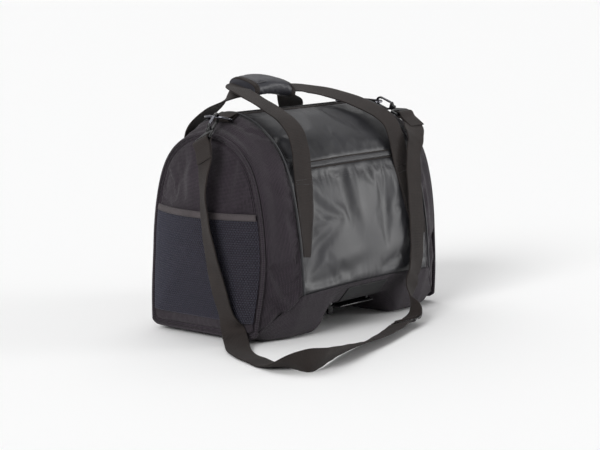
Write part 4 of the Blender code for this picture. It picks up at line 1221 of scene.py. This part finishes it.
# Shoulder strap. Webbing is folded round each eye and sewn back on itself. It hangs down the near end, lies in a
# loop on the ground and rises over the front, through a slider that sets its length.
strap_rows = (
    # place in millimetres, direction of the width, and a width where it isn't the webbing's own
    (-264.2, -29.7, 254.9, -0.15, -0.9, 0.42),
    (-261.0, -24.6, 267.1, -0.15, -0.9, 0.42),
    (-258.7, -20.7, 276.2, -0.15, -0.9, 0.42),
    (-258.9, -16.3, 285.8, -0.15, -0.9, 0.42),
    (-254.3, -15.7, 288.7, -0.15, -0.9, 0.42),
    (-251.5, -18.0, 284.6, -0.15, -0.9, 0.42),
    (-256.5, -21.3, 275.8, -0.15, -0.9, 0.42),
    (-258.8, -25.1, 266.7, -0.19, -0.96, 0.19),
    (-263.6, -26.4, 230.1, -0.48, -0.87, 0.1),
    (-265.7, -27.3, 214.7, -0.56, -0.82, 0.15),
    (-267.3, -28.7, 204.2, -0.57, -0.79, 0.23),
    (-270.5, -35.4, 163.2, -0.52, -0.85, 0.1),
    (-266.6, -45.8, 102.0, -0.36, -0.92, 0.14),
    (-262.1, -54.0, 61.7, -0.24, -0.94, 0.23),
    (-251.3, -68.1, 2.3, 0.0, -0.95, 0.32),
    (-249.6, -71.6, -6.5, 0.24, -0.82, 0.53),
    (-252.5, -78.9, -13.9, 0.65, -0.67, 0.36),
    (-263.7, -92.3, -19.5, 0.68, -0.68, 0.27),
    (-293.7, -127.3, -26.5, 0.82, -0.57, -0.03),
    (-311.0, -159.9, -27.6, 0.91, -0.4, -0.05),
    (-318.2, -177.6, -27.2, 0.93, -0.37, -0.04),
    (-333.5, -219.9, -27.2, 0.96, -0.28, -0.05),
    (-338.2, -239.8, -25.1, 0.97, -0.18, -0.19),
    (-339.5, -257.1, -19.7, 0.87, -0.12, -0.47),
    (-338.1, -272.4, -15.1, 0.69, -0.09, -0.72),
    (-333.8, -284.2, -11.9, 0.47, 0.04, -0.88),
    (-326.2, -291.5, -10.4, 0.21, 0.15, -0.96),
    (-315.6, -295.2, -10.7, 0.08, 0.3, -0.95),
    (-302.6, -296.0, -11.1, -0.05, 0.47, -0.88),
    (-286.6, -293.1, -11.7, -0.18, 0.54, -0.82),
    (-212.4, -270.6, -17.0, -0.26, 0.78, -0.57),
    (-191.3, -264.9, -18.4, -0.24, 0.83, -0.5),
    (-165.8, -258.7, -19.6, -0.23, 0.87, -0.44),
    (-111.2, -245.7, -21.4, -0.24, 0.91, -0.34),
    (-65.2, -232.7, -21.7, -0.27, 0.91, -0.3),
    (-25.5, -220.6, -21.0, -0.28, 0.92, -0.29),
    (8.3, -209.8, -19.6, -0.29, 0.91, -0.29),
    (16.6, -207.9, -22.0, -0.3, 0.91, -0.29),
    (20.9, -206.5, -22.0, -0.3, 0.91, -0.29),
    (27.6, -202.8, -17.3, -0.3, 0.91, -0.29),
    (32.0, -201.4, -17.3, -0.3, 0.91, -0.29),
    (39.6, -200.4, -22.0, -0.3, 0.91, -0.29),
    (44.0, -199.0, -22.0, -0.3, 0.91, -0.29),
    (68.3, -187.2, -15.5, -0.27, 0.8, -0.54),
    (84.5, -171.7, -1.1, 0.63, 0.39, -0.68),
    (89.0, -167.2, 7.1, 0.77, 0.43, -0.47),
    (98.4, -164.2, 34.7, 0.94, 0.09, -0.32),
    (102.8, -163.3, 46.6, 0.87, 0.21, -0.45),
    (106.7, -162.0, 52.0, 0.69, 0.09, -0.72),
    (113.8, -159.3, 58.4, 0.87, 0.06, -0.5),
    (120.1, -156.9, 76.0, 0.96, 0.06, -0.27),
    (125.6, -152.8, 109.5, 0.99, 0.03, -0.11),
    (134.5, -140.5, 191.8, 0.99, -0.02, -0.11),
    (137.8, -136.3, 215.1, 0.98, -0.04, -0.17),
    (147.1, -129.5, 244.2, 0.9, -0.04, -0.43),
    (152.4, -127.6, 253.9, 0.84, -0.09, -0.53),
    (159.5, -123.1, 263.0, 0.79, -0.29, -0.55),
    (169.3, -114.1, 271.1, 0.77, -0.46, -0.45),
    (192.6, -90.9, 286.2, 0.9, -0.35, -0.25),
    (192.4, -82.8, 292.3, 1.0, 0.02, 0.01),
    (192.3, -76.6, 294.5, 1.0, 0.02, 0.01),
    (192.2, -71.7, 297.8, 1.0, 0.02, 0.01),
    (192.2, -73.8, 302.9, 1.0, 0.02, 0.01),
    (192.2, -77.7, 302.5, 1.0, 0.02, 0.01),
    (192.4, -84.2, 294.1, 1.0, 0.02, 0.01),
    (192.6, -92.3, 288.0, 1.0, 0.02, 0.01),
    (192.9, -103.2, 279.9, 1.0, 0.02, 0.01),
)
strap_width, strap_step = 0.038, 0.003
piece, _ = webbing_piece("shoulder_strap_webbing", strap_rows, strap_width * 1000, strap_step)
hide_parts("shoulder_strap")
softened("strap_slider", nylon, 0.0008)

# Rack adapter. A moulded nylon plate under the hollow hooks onto the rack, and a sprung lever at its front
# lets it go.
softened("adapter_plate", nylon, 0.0012)
softened("rack_latch", nylon, 0.0010)
softened("release_lever", nylon, 0.0008, "lever")

# Seam stitching. The same thread topstitches the gussets, the side panels and the zip tapes beside their seams,
# and runs along both edges of the mesh pocket's hem.
stitch_inset = 0.0065


def row_on_skin(places, lift=0.0002):
    """Stitches along places on the skin, each given as x and turn."""
    seats = [skin(x, turn, lift) for x, turn in places]
    return stitch_row([seat for seat, _ in seats], [out for _, out in seats])


rows = []
for side in (-1, 1):
    x = side * (half_main + stitch_inset)
    rows += row_on_skin([(x, turn) for turn in spread(0.02, 0.98, 240)])
    x = side * (half_main - stitch_inset)
    for low, high in ((0.02, 0.475), (0.525, 0.98)):
        rows += row_on_skin([(x, turn) for turn in spread(low, high, 120)])
    turn = 0.5 + side * (zip_share - sewn_inset / arch_length)
    rows += row_on_skin([(x, turn) for x in spread(-panel_reach, panel_reach, 90)], 0.0001)
for up in (0.14, 0.86):
    points = [hem_point(across, up) + Vector((-0.0004, 0, 0)) for across in spread(0.01, 0.99, 90)]
    rows += stitch_row(points, [Vector((-1, 0, 0))] * len(points), 0.003)
piece = beads("seam_stitching", rows, thread)

# Studio. A floor in matt white paint, four wide soft lights far from the bag, and the camera. The world is a white
# wall to the camera's rays, and lights the bag by a third of that.
floor_radius = 40.0
work = bmesh.new()
bmesh.ops.create_circle(work, cap_ends=True, segments=96, radius=floor_radius)
bmesh.ops.translate(work, vec=(0, 0, ground), verts=work.verts)
mesh = bpy.data.meshes.new("floor")
work.to_mesh(mesh)
work.free()
floor = bpy.data.objects.new("floor", mesh)

# Paint: matt white emulsion, rolled on in two coats. It scatters light evenly and shows only soft shadows.
paint = new_material("matt_white_paint", {"Base Color": colour("#f8f8f8"), "Roughness": 0.9})[0]
mesh.materials.append(paint)
bpy.context.scene.collection.objects.link(floor)

world = bpy.data.worlds.new("studio")
bpy.context.scene.world = world
world.use_nodes = True
backdrop = world.node_tree.nodes["Background"]
seen = add_node(world.node_tree, "LightPath", {}, {}).outputs["Is Camera Ray"]
glow = add_node(world.node_tree, "MapRange", {}, {"Value": seen, "To Min": 0.34, "To Max": 1.0})
feed(world.node_tree, backdrop, {"Color": colour("#fafafa"), "Strength": glow})

for name, place, strength, spread_angle in (
    ("left_soft_box", (-1.0, -0.15, 0.58), 1.95, 26),
    ("right_soft_box", (0.80, -0.80, 0.34), 0.35, 24),
    ("low_soft_box", (0.79, -0.65, 0.05), 1.25, 24),
    ("top_soft_box", (0.3, 0.5, 1.0), 1.24, 70),
):
    light = bpy.data.lights.new(name, "SUN")
    light.energy = strength
    light.angle = math.radians(spread_angle)
    lamp = bpy.data.objects.new(name, light)
    lamp.rotation_euler = Vector(place).to_track_quat("Z", "Y").to_euler()
    bpy.context.scene.collection.objects.link(lamp)

bpy.context.scene.view_settings.view_transform = "Standard"
view = bpy.data.cameras.new("camera")
view.sensor_width = 36.0
view.lens = 111.63
view.clip_end = 50.0
camera = bpy.data.objects.new("camera", view)
aim = Vector((0.004048, 0.0, 0.120604))
azimuth, elevation, distance = math.radians(-50.51), math.radians(8.73), 3.114476
level = math.cos(elevation)
back = Vector((math.sin(azimuth) * level, -math.cos(azimuth) * level, math.sin(elevation)))
camera.location = aim + back * distance
camera.rotation_euler = (-back).to_track_quat("-Z", "Y").to_euler()
bpy.context.scene.collection.objects.link(camera)
bpy.context.scene.camera = camera
